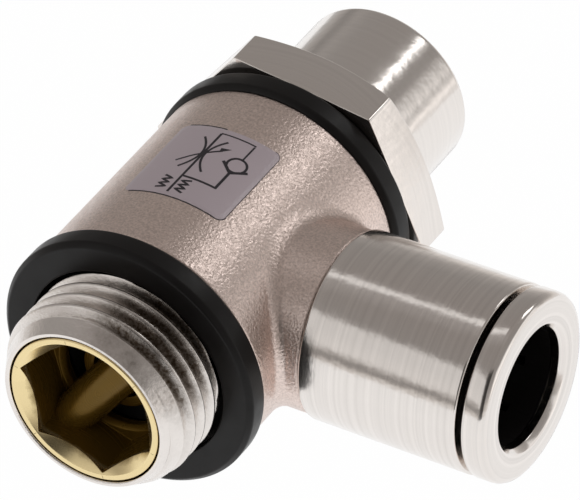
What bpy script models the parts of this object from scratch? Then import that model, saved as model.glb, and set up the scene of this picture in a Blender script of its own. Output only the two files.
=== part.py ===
"""Banjo flow control valve: G 1/2 hollow screw, swivelling banjo body, 12 mm push-in tube socket.

The screw's axis is Z with the thread towards -Z, the port face is z = 0,
and the branch with the tube socket runs along +X.
"""
import math

import bmesh
import bpy
from mathutils import Matrix, Vector

MM = 0.001

# Clearances
CLEAR = 0.30 * MM          # between pieces that lie in or on each other
FACE_CLEAR = 0.20 * MM     # at the two sealing washers' faces
OVERSHOOT = 1.00 * MM      # how far a cutter runs past what it cuts

# Port thread, G 1/2, kept plain at its outer diameter
THREAD_DIAMETER = 20.955 * MM
THREAD_PITCH = 1.814 * MM
THREAD_DEPTH = 0.640327 * THREAD_PITCH
THREAD_LENGTH = 7.90 * MM
THREAD_RUNOUT = 0.40 * MM
THREAD_CHAMFER_ANGLE = math.radians(30.0)
SHOULDER_OVER_THREAD = 0.12 * MM

# Sealing washers
WASHER_OVER_FLATS = 0.63 * MM
PORT_WASHER_HEIGHT = 2.80 * MM
HEX_WASHER_HEIGHT = 2.60 * MM
WASHER_BEVEL = 0.55 * MM
WASHER_LIP_HEIGHT = 1.20 * MM
WASHER_MOUTH_DEPTH = 0.90 * MM

# Banjo body
BARREL_WALL = 2.70 * MM
BARREL_LENGTH = 25.00 * MM
BARREL_BEVEL = 0.35 * MM
LAND_HEIGHT = 5.50 * MM
GALLERY_DEPTH = 1.00 * MM
GALLERY_SLOPE = 0.80 * MM
NECK_WALL = 1.30 * MM
NECK_STAND = 2.20 * MM
NECK_FILLET = 0.90 * MM
SOCKET_DEPTH = 3.40 * MM
PASSAGE_OVER_STOP = 0.70 * MM

# Hexagon and collar of the hollow screw
HEX_ACROSS_FLATS = 27.00 * MM
HEX_HEIGHT = 5.40 * MM
HEX_TURN = math.radians(8.0)
HEX_CHAMFER_ANGLE = math.radians(30.0)
HEX_CHAMFER_INSET = 0.20 * MM
COLLAR_DIAMETER = 18.90 * MM
COLLAR_LENGTH = 13.70 * MM
COLLAR_BEVEL = 0.45 * MM

# Passages inside the hollow screw
WAIST_WALL = 2.00 * MM
WALL_UNDER_THREAD = 0.52 * MM
INSERT_LEDGE = 1.60 * MM
INSERT_RECESS = 0.30 * MM
CHECK_CHAMBER_SETBACK = 1.20 * MM
MIXING_CHAMBER_DIAMETER = 12.00 * MM
MIXING_CHAMBER_SETBACK = 1.50 * MM
CROSS_HOLE_DIAMETER = 5.20 * MM
CROSS_HOLE_COUNT = 6
SEAL_BORE_DIAMETER = 8.80 * MM
SEAL_BORE_MARGIN = 0.50 * MM
ADJUSTER_BORE_DIAMETER = 10.00 * MM
RETAINER_POCKET_DIAMETER = 12.60 * MM
RETAINER_POCKET_DEPTH = 3.80 * MM

# Throttle insert: countersunk hexagonal mouth, bar across it, nozzle on the bar
MOUTH_FLAT_WALL = 1.65 * MM
MOUTH_CORNER_WALL = 0.95 * MM
MOUTH_TURN = math.radians(18.0)
MOUTH_LEDGE_WIDTH = 0.70 * MM
MOUTH_LEDGE_HEIGHT = 1.20 * MM
MOUTH_LEDGE_CHAMFER = 0.45 * MM
COUNTERSINK_RIM = 0.35 * MM
COUNTERSINK_DEPTH = 1.05 * MM
BAR_TURN = math.radians(-52.0)
BAR_DEPTH = 2.50 * MM
BAR_WIDTH = 4.40 * MM
BAR_CROWN = 0.90 * MM
LIP_ROOM = 1.00 * MM
CHECK_ANNULUS = 3.30 * MM
NOZZLE_WALL = 1.10 * MM
NOZZLE_ROOT = 0.50 * MM
NOZZLE_SETBACK = 0.80 * MM
SEAL_GROOVE_DEPTH = 0.60 * MM
SEAL_GROOVE_SETBACK = 1.80 * MM
SEAL_GROOVE_HEIGHT = 3.20 * MM
LIP_FLARE = 1.10

# Adjusting needle
NEEDLE_TIP_LENGTH = 4.60 * MM
NEEDLE_TIP_TAPER = 1.00 * MM
NEEDLE_SHOULDER_HEIGHT = 1.50 * MM
NEEDLE_STEM_DIAMETER = 6.00 * MM
NEEDLE_GUIDE_LEAD = 0.40 * MM
NEEDLE_GUIDE_LENGTH = 3.90 * MM
NEEDLE_TRAVEL = 4.00 * MM
NEEDLE_STOP_CLEAR = 0.40 * MM
NEEDLE_SEAL_SECTION = 1.10 * MM
DRIVER_SLOT_WIDTH = 1.40 * MM
DRIVER_SLOT_DEPTH = 1.80 * MM
RETAINER_HEIGHT = 1.60 * MM
RETAINER_OVERLAP = 0.70 * MM
RETAINER_BEVEL = 0.30 * MM

# Push-in tube socket, lengths along the branch from the screw's axis
TUBE_DIAMETER = 12.00 * MM
SLEEVE_WALL = 1.60 * MM
SLEEVE_LENGTH = 17.30 * MM
SLEEVE_BEVEL = 0.35 * MM
SPIGOT_WALL = 1.70 * MM
SLEEVE_MOUTH_LIP = 1.40 * MM
SLEEVE_CONE_LENGTH = 1.40 * MM
TUBE_STOP_LEDGE = 1.10 * MM
TUBE_STOP_LENGTH = 1.40 * MM
TUBE_GUIDE_LENGTH = 4.00 * MM
TUBE_BORE_CLEAR = 0.20 * MM
SEAL_CHAMBER_DEPTH = 2.20 * MM
TUBE_SEAL_SECTION = 2.00 * MM
SPACER_LENGTH = 1.00 * MM
SPIGOT_SEAL_SECTION = 0.80 * MM
SPIGOT_GROOVE_LENGTH = 1.40 * MM

# Collet and release ring
RELEASE_TRAVEL = 0.60 * MM
RELEASE_GAP = 0.80 * MM
RING_LENGTH = 2.45 * MM
RING_ROUNDING = 0.50 * MM
RING_POCKET_DEPTH = 1.10 * MM
RING_LEAD_IN = 0.65 * MM
COLLET_WALL = 0.95 * MM
COLLET_BORE_CLEAR = 0.25 * MM
COLLET_FINGER_COUNT = 8
COLLET_SLOT_WIDTH = 1.00 * MM
COLLET_HEAD_LENGTH = 2.30 * MM
COLLET_SLOT_LENGTH = 6.40 * MM
COLLET_TOOTH_HEIGHT = 0.22 * MM
COLLET_TOOTH_COUNT = 2
COLLET_TOOTH_CREST = 0.75  # where each tooth's crest and its back's foot lie, in pitches
COLLET_TOOTH_BACK = 0.85

# Facets round a full turn
LARGE_ROUND = 48
MEDIUM_ROUND = 32
SMALL_ROUND = 24
SEAL_SECTION_POINTS = 8
FILLET_STEPS = 4
CROWN_STEPS = 6

# Radii round the screw's axis
THREAD_RADIUS = THREAD_DIAMETER / 2
THREAD_ROOT_RADIUS = THREAD_RADIUS - THREAD_DEPTH
SHOULDER_RADIUS = THREAD_RADIUS + SHOULDER_OVER_THREAD
SCREW_BORE_RADIUS = SHOULDER_RADIUS + CLEAR
BARREL_RADIUS = SCREW_BORE_RADIUS + BARREL_WALL
WASHER_RADIUS = HEX_ACROSS_FLATS / 2 + WASHER_OVER_FLATS
WAIST_RADIUS = MIXING_CHAMBER_DIAMETER / 2 + WAIST_WALL
INSERT_BORE_RADIUS = THREAD_ROOT_RADIUS - WALL_UNDER_THREAD
CHECK_BORE_RADIUS = INSERT_BORE_RADIUS - INSERT_LEDGE
NOZZLE_RADIUS = CHECK_BORE_RADIUS - CHECK_ANNULUS
NOZZLE_BORE_RADIUS = NOZZLE_RADIUS - NOZZLE_WALL
CHECK_SEAL_RADIUS = NOZZLE_RADIUS - SEAL_GROOVE_DEPTH + CLEAR
CHECK_LIP_RADIUS = CHECK_BORE_RADIUS - CLEAR
CHECK_COLLAR_RADIUS = (CHECK_SEAL_RADIUS + CHECK_LIP_RADIUS) / 2
SEAL_BORE_RADIUS = SEAL_BORE_DIAMETER / 2
ADJUSTER_BORE_RADIUS = ADJUSTER_BORE_DIAMETER / 2
RETAINER_POCKET_RADIUS = RETAINER_POCKET_DIAMETER / 2

# Heights above the port face
BARREL_BOTTOM = PORT_WASHER_HEIGHT + FACE_CLEAR
BARREL_TOP = BARREL_BOTTOM + BARREL_LENGTH
BRANCH_HEIGHT = BARREL_BOTTOM + BARREL_LENGTH / 2
GALLERY_BOTTOM = BARREL_BOTTOM + LAND_HEIGHT
GALLERY_TOP = BARREL_TOP - LAND_HEIGHT
HEX_WASHER_BOTTOM = BARREL_TOP + FACE_CLEAR
HEX_BOTTOM = HEX_WASHER_BOTTOM + HEX_WASHER_HEIGHT + FACE_CLEAR
HEX_TOP = HEX_BOTTOM + HEX_HEIGHT
COLLAR_TOP = HEX_TOP + COLLAR_LENGTH
INSERT_FACE = -THREAD_LENGTH + INSERT_RECESS
BAR_CREST = INSERT_FACE + BAR_DEPTH
CHECK_CHAMBER_TOP = GALLERY_BOTTOM - CHECK_CHAMBER_SETBACK
MIXING_CHAMBER_TOP = GALLERY_TOP - MIXING_CHAMBER_SETBACK
NOZZLE_TOP = CHECK_CHAMBER_TOP - NOZZLE_SETBACK
SEAL_GROOVE_TOP = NOZZLE_TOP - SEAL_GROOVE_SETBACK
SEAL_GROOVE_BOTTOM = SEAL_GROOVE_TOP - SEAL_GROOVE_HEIGHT
CHECK_LIP_DROP = (CHECK_LIP_RADIUS - CHECK_COLLAR_RADIUS) * LIP_FLARE
CHECK_LIP_BOTTOM = SEAL_GROOVE_BOTTOM + CLEAR - CHECK_LIP_DROP
INSERT_TOP = CHECK_LIP_BOTTOM - LIP_ROOM
NEEDLE_GUIDE_BOTTOM = MIXING_CHAMBER_TOP - NEEDLE_GUIDE_LEAD
NEEDLE_GUIDE_TOP = NEEDLE_GUIDE_BOTTOM + NEEDLE_GUIDE_LENGTH
SEAL_BORE_TOP = NEEDLE_GUIDE_TOP + NEEDLE_TRAVEL + SEAL_BORE_MARGIN
RETAINER_SEAT = COLLAR_TOP - RETAINER_POCKET_DEPTH
NEEDLE_TOP = RETAINER_SEAT + CLEAR - NEEDLE_STOP_CLEAR - NEEDLE_TRAVEL

# Radii round the branch's axis
TUBE_RADIUS = TUBE_DIAMETER / 2
TUBE_BORE_RADIUS = TUBE_RADIUS + TUBE_BORE_CLEAR
TUBE_STOP_RADIUS = TUBE_RADIUS - TUBE_STOP_LEDGE
SEAL_CHAMBER_RADIUS = TUBE_RADIUS + SEAL_CHAMBER_DEPTH
SLEEVE_RADIUS = SEAL_CHAMBER_RADIUS + SLEEVE_WALL
SPIGOT_RADIUS = TUBE_BORE_RADIUS + SPIGOT_WALL
NECK_RADIUS = SPIGOT_RADIUS + CLEAR + NECK_WALL
COLLET_BORE_RADIUS = TUBE_RADIUS + COLLET_BORE_CLEAR
COLLET_RADIUS = COLLET_BORE_RADIUS + COLLET_WALL
COLLET_HEAD_RADIUS = SEAL_CHAMBER_RADIUS - CLEAR
SLEEVE_MOUTH_RADIUS = COLLET_RADIUS + CLEAR

# Stations along the branch, from the screw's axis
NECK_REACH = BARREL_RADIUS + NECK_STAND
SOCKET_FLOOR = NECK_REACH - SOCKET_DEPTH
SPIGOT_START = SOCKET_FLOOR + CLEAR
SLEEVE_START = NECK_REACH + CLEAR
SLEEVE_END = SLEEVE_START + SLEEVE_LENGTH
TUBE_STOP = SLEEVE_START + TUBE_STOP_LENGTH
SEAL_SHOULDER = TUBE_STOP + TUBE_GUIDE_LENGTH
TUBE_SEAL_CENTRE = SEAL_SHOULDER + CLEAR + TUBE_SEAL_SECTION / 2
SPACER_START = TUBE_SEAL_CENTRE + TUBE_SEAL_SECTION / 2 + CLEAR
SPACER_END = SPACER_START + SPACER_LENGTH
COLLET_START = SPACER_END + CLEAR + RELEASE_TRAVEL
RING_START = SLEEVE_END + RELEASE_GAP
RING_END = RING_START + RING_LENGTH
COLLET_END = RING_START + RING_POCKET_DEPTH - CLEAR

# Looks as the photograph shows them: base colour, metallic, roughness
FINISHES = {
    "blasted_nickel": ((0.56, 0.52, 0.49), 1.0, 0.45),
    "turned_nickel": ((0.66, 0.63, 0.60), 1.0, 0.20),
    "black_plastic": ((0.020, 0.020, 0.021), 0.0, 0.38),
    "brass": ((0.78, 0.57, 0.20), 1.0, 0.24),
    "black_rubber": ((0.016, 0.016, 0.017), 0.0, 0.55),
    "white_plastic": ((0.72, 0.71, 0.68), 0.0, 0.40),
}


def clear_scene():
    """Remove whatever the file opened with."""
    for item in list(bpy.data.objects):
        bpy.data.objects.remove(item, do_unlink=True)


def finish(name):
    """Return the named finish, making its material the first time."""
    material = bpy.data.materials.get(name)
    if material is None:
        colour, metallic, roughness = FINISHES[name]
        material = bpy.data.materials.new(name)
        material.use_nodes = True
        shader = material.node_tree.nodes["Principled BSDF"]
        shader.inputs["Base Color"].default_value = (*colour, 1.0)
        shader.inputs["Metallic"].default_value = metallic
        shader.inputs["Roughness"].default_value = roughness
        material.diffuse_color = (*colour, 1.0)
    return material


def round_angles(count):
    """Evenly spaced angles for one turn."""
    return [math.tau * k / count for k in range(count)]


def add_object(name, bm, material):
    """Turn a bmesh into a linked object whose faces point outwards."""
    bmesh.ops.recalc_face_normals(bm, faces=bm.faces)
    mesh = bpy.data.meshes.new(name)
    bm.to_mesh(mesh)
    bm.free()
    item = bpy.data.objects.new(name, mesh)
    bpy.context.scene.collection.objects.link(item)
    if material:
        mesh.materials.append(finish(material))
    return item


def turned(name, profile, material=None, steps=LARGE_ROUND):
    """Spin a closed outline of (radius, height) points round Z.

    An outline that starts and ends on the axis makes a solid without a bore.
    """
    bm = bmesh.new()
    points = [bm.verts.new((radius, 0.0, height)) for radius, height in profile]
    on_axis = profile[0][0] == 0.0 and profile[-1][0] == 0.0
    edges = [bm.edges.new(pair) for pair in zip(points, points[1:])]
    if not on_axis:
        edges.append(bm.edges.new((points[-1], points[0])))
    bmesh.ops.spin(
        bm, geom=points + edges, cent=(0, 0, 0), axis=(0, 0, 1),
        angle=math.tau, steps=steps, use_merge=True)
    bmesh.ops.remove_doubles(bm, verts=bm.verts, dist=1e-7)
    return add_object(name, bm, material)


def prism(name, corner_radius, sides, bottom, top, turn):
    """A regular prism round Z whose first corner stands at the angle turn."""
    bm = bmesh.new()
    base = bm.faces.new([
        bm.verts.new((
            corner_radius * math.cos(turn + angle), corner_radius * math.sin(turn + angle), bottom))
        for angle in round_angles(sides)])
    raised = bmesh.ops.extrude_face_region(bm, geom=[base])
    lifted = [item for item in raised["geom"] if isinstance(item, bmesh.types.BMVert)]
    bmesh.ops.translate(bm, verts=lifted, vec=(0, 0, top - bottom))
    return add_object(name, bm, None)


def block(name, low, high, turn=0.0):
    """A box from its low to its high corner, turned round Z."""
    bm = bmesh.new()
    bmesh.ops.create_cube(bm, size=1.0)
    low, high = Vector(low), Vector(high)
    bmesh.ops.scale(bm, verts=bm.verts, vec=high - low)
    bmesh.ops.translate(bm, verts=bm.verts, vec=(low + high) / 2)
    bmesh.ops.rotate(bm, verts=bm.verts, cent=(0, 0, 0), matrix=Matrix.Rotation(turn, 3, "Z"))
    return add_object(name, bm, None)


def rod(name, radius, start, end, angle, height, steps=SMALL_ROUND):
    """A plain cylinder lying at a height, from start to end along a direction from the axis."""
    bm = bmesh.new()
    bmesh.ops.create_cone(
        bm, cap_ends=True, segments=steps, radius1=radius, radius2=radius, depth=end - start)
    bmesh.ops.translate(bm, verts=bm.verts, vec=(0, 0, (start + end) / 2))
    bmesh.ops.rotate(bm, verts=bm.verts, cent=(0, 0, 0), matrix=Matrix.Rotation(math.pi / 2, 3, "Y"))
    bmesh.ops.rotate(bm, verts=bm.verts, cent=(0, 0, 0), matrix=Matrix.Rotation(angle, 3, "Z"))
    bmesh.ops.translate(bm, verts=bm.verts, vec=(0, 0, height))
    return add_object(name, bm, None)


def ring_section(centre_radius, centre_height, section):
    """The round section of an O-ring, as outline points."""
    return [
        (centre_radius + section / 2 * math.cos(angle),
         centre_height + section / 2 * math.sin(angle))
        for angle in round_angles(SEAL_SECTION_POINTS)]


def combine(target, other, operation):
    """Apply one exact Boolean to the target and remove the other shape."""
    other.hide_render = True
    other.display_type = "WIRE"
    modifier = target.modifiers.new(other.name, "BOOLEAN")
    modifier.object = other
    modifier.operation = operation
    modifier.solver = "EXACT"
    bpy.context.view_layer.update()
    evaluated = target.evaluated_get(bpy.context.evaluated_depsgraph_get())
    shaped = bpy.data.meshes.new_from_object(evaluated)
    target.modifiers.remove(modifier)
    target.data = shaped
    bpy.data.objects.remove(other, do_unlink=True)


def smooth(item, sharp_angle=30.0):
    """Shade the round faces smooth and keep the real edges."""
    item.data.shade_smooth()
    item.data.set_sharp_from_angle(angle=math.radians(sharp_angle))
    return item


def lay_on_branch(item):
    """Lay a piece made round Z on the branch's axis, with its base at the screw's axis."""
    item.rotation_euler = (0.0, math.pi / 2, 0.0)
    item.location = (0.0, 0.0, BRANCH_HEIGHT)
    return item


def make_hollow_screw():
    """The nickelled screw: thread, shoulders with a waist between, hexagon and collar."""
    slope = THREAD_DEPTH * math.tan(THREAD_CHAMFER_ANGLE)
    outline = [
        (0.0, -THREAD_LENGTH),
        (THREAD_ROOT_RADIUS, -THREAD_LENGTH),
        (THREAD_RADIUS, -THREAD_LENGTH + slope),
        (THREAD_RADIUS, THREAD_RUNOUT),
        (THREAD_ROOT_RADIUS, THREAD_RUNOUT + slope),
        (THREAD_ROOT_RADIUS, BARREL_BOTTOM),
        (SHOULDER_RADIUS, BARREL_BOTTOM),
        (SHOULDER_RADIUS, GALLERY_BOTTOM),
        (WAIST_RADIUS, GALLERY_BOTTOM + GALLERY_SLOPE),
        (WAIST_RADIUS, GALLERY_TOP - GALLERY_SLOPE),
        (SHOULDER_RADIUS, GALLERY_TOP),
        (SHOULDER_RADIUS, (HEX_BOTTOM + HEX_TOP) / 2),
        (COLLAR_DIAMETER / 2, (HEX_BOTTOM + HEX_TOP) / 2),
        (COLLAR_DIAMETER / 2, COLLAR_TOP - COLLAR_BEVEL),
        (COLLAR_DIAMETER / 2 - COLLAR_BEVEL, COLLAR_TOP),
        (0.0, COLLAR_TOP),
    ]
    screw = turned("hollow_screw", outline, "turned_nickel")
    combine(screw, make_hexagon(), "UNION")
    combine(screw, make_screw_bore(), "DIFFERENCE")
    for k in range(CROSS_HOLE_COUNT):
        hole = rod(
            f"cross_hole_{k}", CROSS_HOLE_DIAMETER / 2, MIXING_CHAMBER_DIAMETER / 4,
            SHOULDER_RADIUS, math.tau * k / CROSS_HOLE_COUNT, BRANCH_HEIGHT)
        combine(screw, hole, "DIFFERENCE")
    return smooth(screw)


def make_hexagon():
    """The spanner hexagon, its corners cut by the cone that a lathe leaves on the cap side."""
    corner_radius = HEX_ACROSS_FLATS / 2 / math.cos(math.pi / 6)
    hexagon = prism("hexagon", corner_radius, 6, HEX_BOTTOM, HEX_TOP, HEX_TURN)
    cone_top = HEX_ACROSS_FLATS / 2 - HEX_CHAMFER_INSET
    envelope_radius = corner_radius + OVERSHOOT
    drop = (envelope_radius - cone_top) * math.tan(HEX_CHAMFER_ANGLE)
    rise = OVERSHOOT / math.tan(HEX_CHAMFER_ANGLE)
    envelope = turned("hexagon_envelope", [
        (0.0, HEX_BOTTOM - OVERSHOOT),
        (envelope_radius, HEX_BOTTOM - OVERSHOOT),
        (envelope_radius, HEX_TOP - drop),
        (cone_top - rise, HEX_TOP + OVERSHOOT),
        (0.0, HEX_TOP + OVERSHOOT),
    ])
    combine(hexagon, envelope, "INTERSECT")
    return hexagon


def make_screw_bore():
    """The stepped bore, from the insert's seat up to the retaining ring's pocket."""
    return turned("screw_bore", [
        (0.0, -THREAD_LENGTH - OVERSHOOT),
        (INSERT_BORE_RADIUS, -THREAD_LENGTH - OVERSHOOT),
        (INSERT_BORE_RADIUS, INSERT_TOP + CLEAR),
        (CHECK_BORE_RADIUS, INSERT_TOP + CLEAR),
        (CHECK_BORE_RADIUS, CHECK_CHAMBER_TOP),
        (MIXING_CHAMBER_DIAMETER / 2, CHECK_CHAMBER_TOP),
        (MIXING_CHAMBER_DIAMETER / 2, MIXING_CHAMBER_TOP - GALLERY_SLOPE),
        (SEAL_BORE_RADIUS, MIXING_CHAMBER_TOP),
        (SEAL_BORE_RADIUS, SEAL_BORE_TOP),
        (ADJUSTER_BORE_RADIUS, SEAL_BORE_TOP),
        (ADJUSTER_BORE_RADIUS, RETAINER_SEAT),
        (RETAINER_POCKET_RADIUS, RETAINER_SEAT),
        (RETAINER_POCKET_RADIUS, COLLAR_TOP + OVERSHOOT),
        (0.0, COLLAR_TOP + OVERSHOOT),
    ], steps=MEDIUM_ROUND)


def make_port_washer():
    """The washer at the port, held on the thread's relief by its inner lip."""
    outer = WASHER_RADIUS
    lip_radius = THREAD_ROOT_RADIUS + CLEAR
    return smooth(turned("port_washer", [
        (SCREW_BORE_RADIUS, 0.0),
        (outer - WASHER_BEVEL, 0.0),
        (outer, WASHER_BEVEL),
        (outer, PORT_WASHER_HEIGHT - WASHER_BEVEL),
        (outer - WASHER_BEVEL, PORT_WASHER_HEIGHT),
        (lip_radius, PORT_WASHER_HEIGHT),
        (lip_radius, PORT_WASHER_HEIGHT - WASHER_LIP_HEIGHT),
        (SCREW_BORE_RADIUS, WASHER_MOUTH_DEPTH),
    ], "black_plastic"))


def make_hex_washer():
    """The washer between the barrel and the hexagon."""
    outer = WASHER_RADIUS
    bottom = HEX_WASHER_BOTTOM
    top = HEX_WASHER_BOTTOM + HEX_WASHER_HEIGHT
    return smooth(turned("hex_washer", [
        (SCREW_BORE_RADIUS, bottom),
        (outer - WASHER_BEVEL, bottom),
        (outer, bottom + WASHER_BEVEL),
        (outer, top - WASHER_BEVEL),
        (outer - WASHER_BEVEL, top),
        (SCREW_BORE_RADIUS, top),
    ], "black_plastic"))


def make_banjo_body():
    """The cast body: a barrel with an annular gallery and a neck blended into it."""
    outer = BARREL_RADIUS
    body = turned("banjo_body", [
        (0.0, BARREL_BOTTOM),
        (outer - BARREL_BEVEL, BARREL_BOTTOM),
        (outer, BARREL_BOTTOM + BARREL_BEVEL),
        (outer, BARREL_TOP - BARREL_BEVEL),
        (outer - BARREL_BEVEL, BARREL_TOP),
        (0.0, BARREL_TOP),
    ], "blasted_nickel")
    combine(body, make_neck(), "UNION")
    gallery_radius = SCREW_BORE_RADIUS + GALLERY_DEPTH
    bore = turned("body_bore", [
        (0.0, BARREL_BOTTOM - OVERSHOOT),
        (SCREW_BORE_RADIUS, BARREL_BOTTOM - OVERSHOOT),
        (SCREW_BORE_RADIUS, GALLERY_BOTTOM),
        (gallery_radius, GALLERY_BOTTOM + GALLERY_SLOPE),
        (gallery_radius, GALLERY_TOP - GALLERY_SLOPE),
        (SCREW_BORE_RADIUS, GALLERY_TOP),
        (SCREW_BORE_RADIUS, BARREL_TOP + OVERSHOOT),
        (0.0, BARREL_TOP + OVERSHOOT),
    ])
    combine(body, bore, "DIFFERENCE")
    socket = lay_on_branch(turned("socket_bore", [
        (0.0, SHOULDER_RADIUS / 2),
        (TUBE_STOP_RADIUS + PASSAGE_OVER_STOP, SHOULDER_RADIUS / 2),
        (TUBE_STOP_RADIUS + PASSAGE_OVER_STOP, SOCKET_FLOOR),
        (SPIGOT_RADIUS + CLEAR, SOCKET_FLOOR),
        (SPIGOT_RADIUS + CLEAR, NECK_REACH + OVERSHOOT),
        (0.0, NECK_REACH + OVERSHOOT),
    ], steps=MEDIUM_ROUND))
    combine(body, socket, "DIFFERENCE")
    return smooth(body)


def make_neck():
    """The round neck, whose root flares along the barrel's own curve like a cast fillet.

    Each ring of the flare follows the barrel: its reach is the barrel's surface at that
    ring's sideways offset, plus what is left of the fillet's height.
    """
    rings = []
    for k in range(FILLET_STEPS + 1):
        angle = math.pi / 2 * k / FILLET_STEPS
        radius = NECK_RADIUS + NECK_FILLET * (1.0 - math.sin(angle))
        lift = NECK_FILLET * (1.0 - math.cos(angle))
        rings.append((radius, lift))
    flare_radius, _ = rings[0]
    bm = bmesh.new()
    loops = [[
        (flare_radius * math.cos(turn), flare_radius * math.sin(turn), 0.0)
        for turn in round_angles(MEDIUM_ROUND)]]
    for radius, lift in rings:
        loop = []
        for turn in round_angles(MEDIUM_ROUND):
            side = radius * math.sin(turn)
            reach = math.sqrt(BARREL_RADIUS ** 2 - side ** 2) + lift - CLEAR / 10
            loop.append((radius * math.cos(turn), side, reach))
        loops.append(loop)
    loops.append([
        (NECK_RADIUS * math.cos(turn), NECK_RADIUS * math.sin(turn), NECK_REACH)
        for turn in round_angles(MEDIUM_ROUND)])
    rows = [[bm.verts.new(point) for point in loop] for loop in loops]
    for lower, upper in zip(rows, rows[1:]):
        for k in range(MEDIUM_ROUND):
            after = (k + 1) % MEDIUM_ROUND
            bm.faces.new((lower[k], lower[after], upper[after], upper[k]))
    bm.faces.new(rows[0])
    bm.faces.new(rows[-1])
    return lay_on_branch(add_object("neck", bm, None))


def make_throttle_insert():
    """The brass insert: countersunk hexagonal mouth, bar, and the nozzle that the bar carries."""
    head = INSERT_BORE_RADIUS - CLEAR
    flat = head - MOUTH_FLAT_WALL
    corner = head - MOUTH_CORNER_WALL
    insert = turned("throttle_insert", [
        (0.0, INSERT_FACE + COUNTERSINK_DEPTH),
        (flat - CLEAR, INSERT_FACE + COUNTERSINK_DEPTH),
        (head - COUNTERSINK_RIM, INSERT_FACE),
        (head, INSERT_FACE),
        (head, INSERT_TOP),
        (0.0, INSERT_TOP),
    ], "brass", MEDIUM_ROUND)
    combine(insert, make_mouth(flat, corner), "DIFFERENCE")
    ledge = INSERT_TOP - MOUTH_LEDGE_HEIGHT
    rim = flat - MOUTH_LEDGE_WIDTH
    passage = turned("insert_passage", [
        (0.0, ledge - CLEAR / 3),
        (rim + MOUTH_LEDGE_CHAMFER + CLEAR / 3, ledge - CLEAR / 3),
        (rim, ledge + MOUTH_LEDGE_CHAMFER),
        (rim, INSERT_TOP + OVERSHOOT),
        (0.0, INSERT_TOP + OVERSHOOT),
    ], steps=MEDIUM_ROUND)
    combine(insert, passage, "DIFFERENCE")
    combine(insert, make_bar((head + corner) / 2), "UNION")
    combine(insert, make_nozzle(), "UNION")
    return smooth(insert)


def make_mouth(flat, corner):
    """The hexagonal mouth, whose corners are rounded off by the bore it is broached from."""
    bottom, top = INSERT_FACE - OVERSHOOT, INSERT_TOP - MOUTH_LEDGE_HEIGHT
    hexagon = prism("mouth_hexagon", flat / math.cos(math.pi / 6), 6, bottom, top, MOUTH_TURN)
    corners = prism(
        "mouth_corners", corner, MEDIUM_ROUND, bottom - OVERSHOOT, top + OVERSHOOT, MOUTH_TURN)
    combine(hexagon, corners, "INTERSECT")
    return hexagon


def make_bar(reach):
    """The bar across the mouth, its front crowned in an arc, its ends in the wall."""
    half = BAR_WIDTH / 2
    outline = [(half, INSERT_TOP), (-half, INSERT_TOP)]
    for k in range(CROWN_STEPS + 1):
        angle = math.pi * k / CROWN_STEPS
        outline.append((-half * math.cos(angle), BAR_CREST + BAR_CROWN * (1.0 - math.sin(angle))))
    bm = bmesh.new()
    section = bm.faces.new([bm.verts.new((-reach, side, height)) for side, height in outline])
    drawn = bmesh.ops.extrude_face_region(bm, geom=[section])
    far_end = [item for item in drawn["geom"] if isinstance(item, bmesh.types.BMVert)]
    bmesh.ops.translate(bm, verts=far_end, vec=(2 * reach, 0, 0))
    bmesh.ops.rotate(bm, verts=bm.verts, cent=(0, 0, 0), matrix=Matrix.Rotation(BAR_TURN, 3, "Z"))
    return add_object("bar", bm, None)


def make_nozzle():
    """The tube on the bar: a groove outside for the check seal, the throttle's seat on top."""
    outer = NOZZLE_RADIUS
    bore = NOZZLE_BORE_RADIUS
    bottom = INSERT_TOP - NOZZLE_ROOT
    return turned("nozzle", [
        (bore, bottom),
        (outer, bottom),
        (outer, SEAL_GROOVE_BOTTOM),
        (outer - SEAL_GROOVE_DEPTH, SEAL_GROOVE_BOTTOM),
        (outer - SEAL_GROOVE_DEPTH, SEAL_GROOVE_TOP),
        (outer, SEAL_GROOVE_TOP),
        (outer, NOZZLE_TOP),
        (bore, NOZZLE_TOP),
    ], steps=MEDIUM_ROUND)


def make_check_seal():
    """The lip seal of the one-way path: a collar in the nozzle's groove with a flared lip."""
    inner, collar, lip = CHECK_SEAL_RADIUS, CHECK_COLLAR_RADIUS, CHECK_LIP_RADIUS
    bottom = SEAL_GROOVE_BOTTOM + CLEAR
    top = SEAL_GROOVE_TOP - CLEAR
    return smooth(turned("check_seal", [
        (inner, bottom),
        (collar - CLEAR, bottom),
        (lip - CLEAR, CHECK_LIP_BOTTOM),
        (lip, CHECK_LIP_BOTTOM + CLEAR),
        (collar + CLEAR, (bottom + top) / 2),
        (collar, top),
        (inner, top),
    ], "black_rubber", MEDIUM_ROUND))


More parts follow.
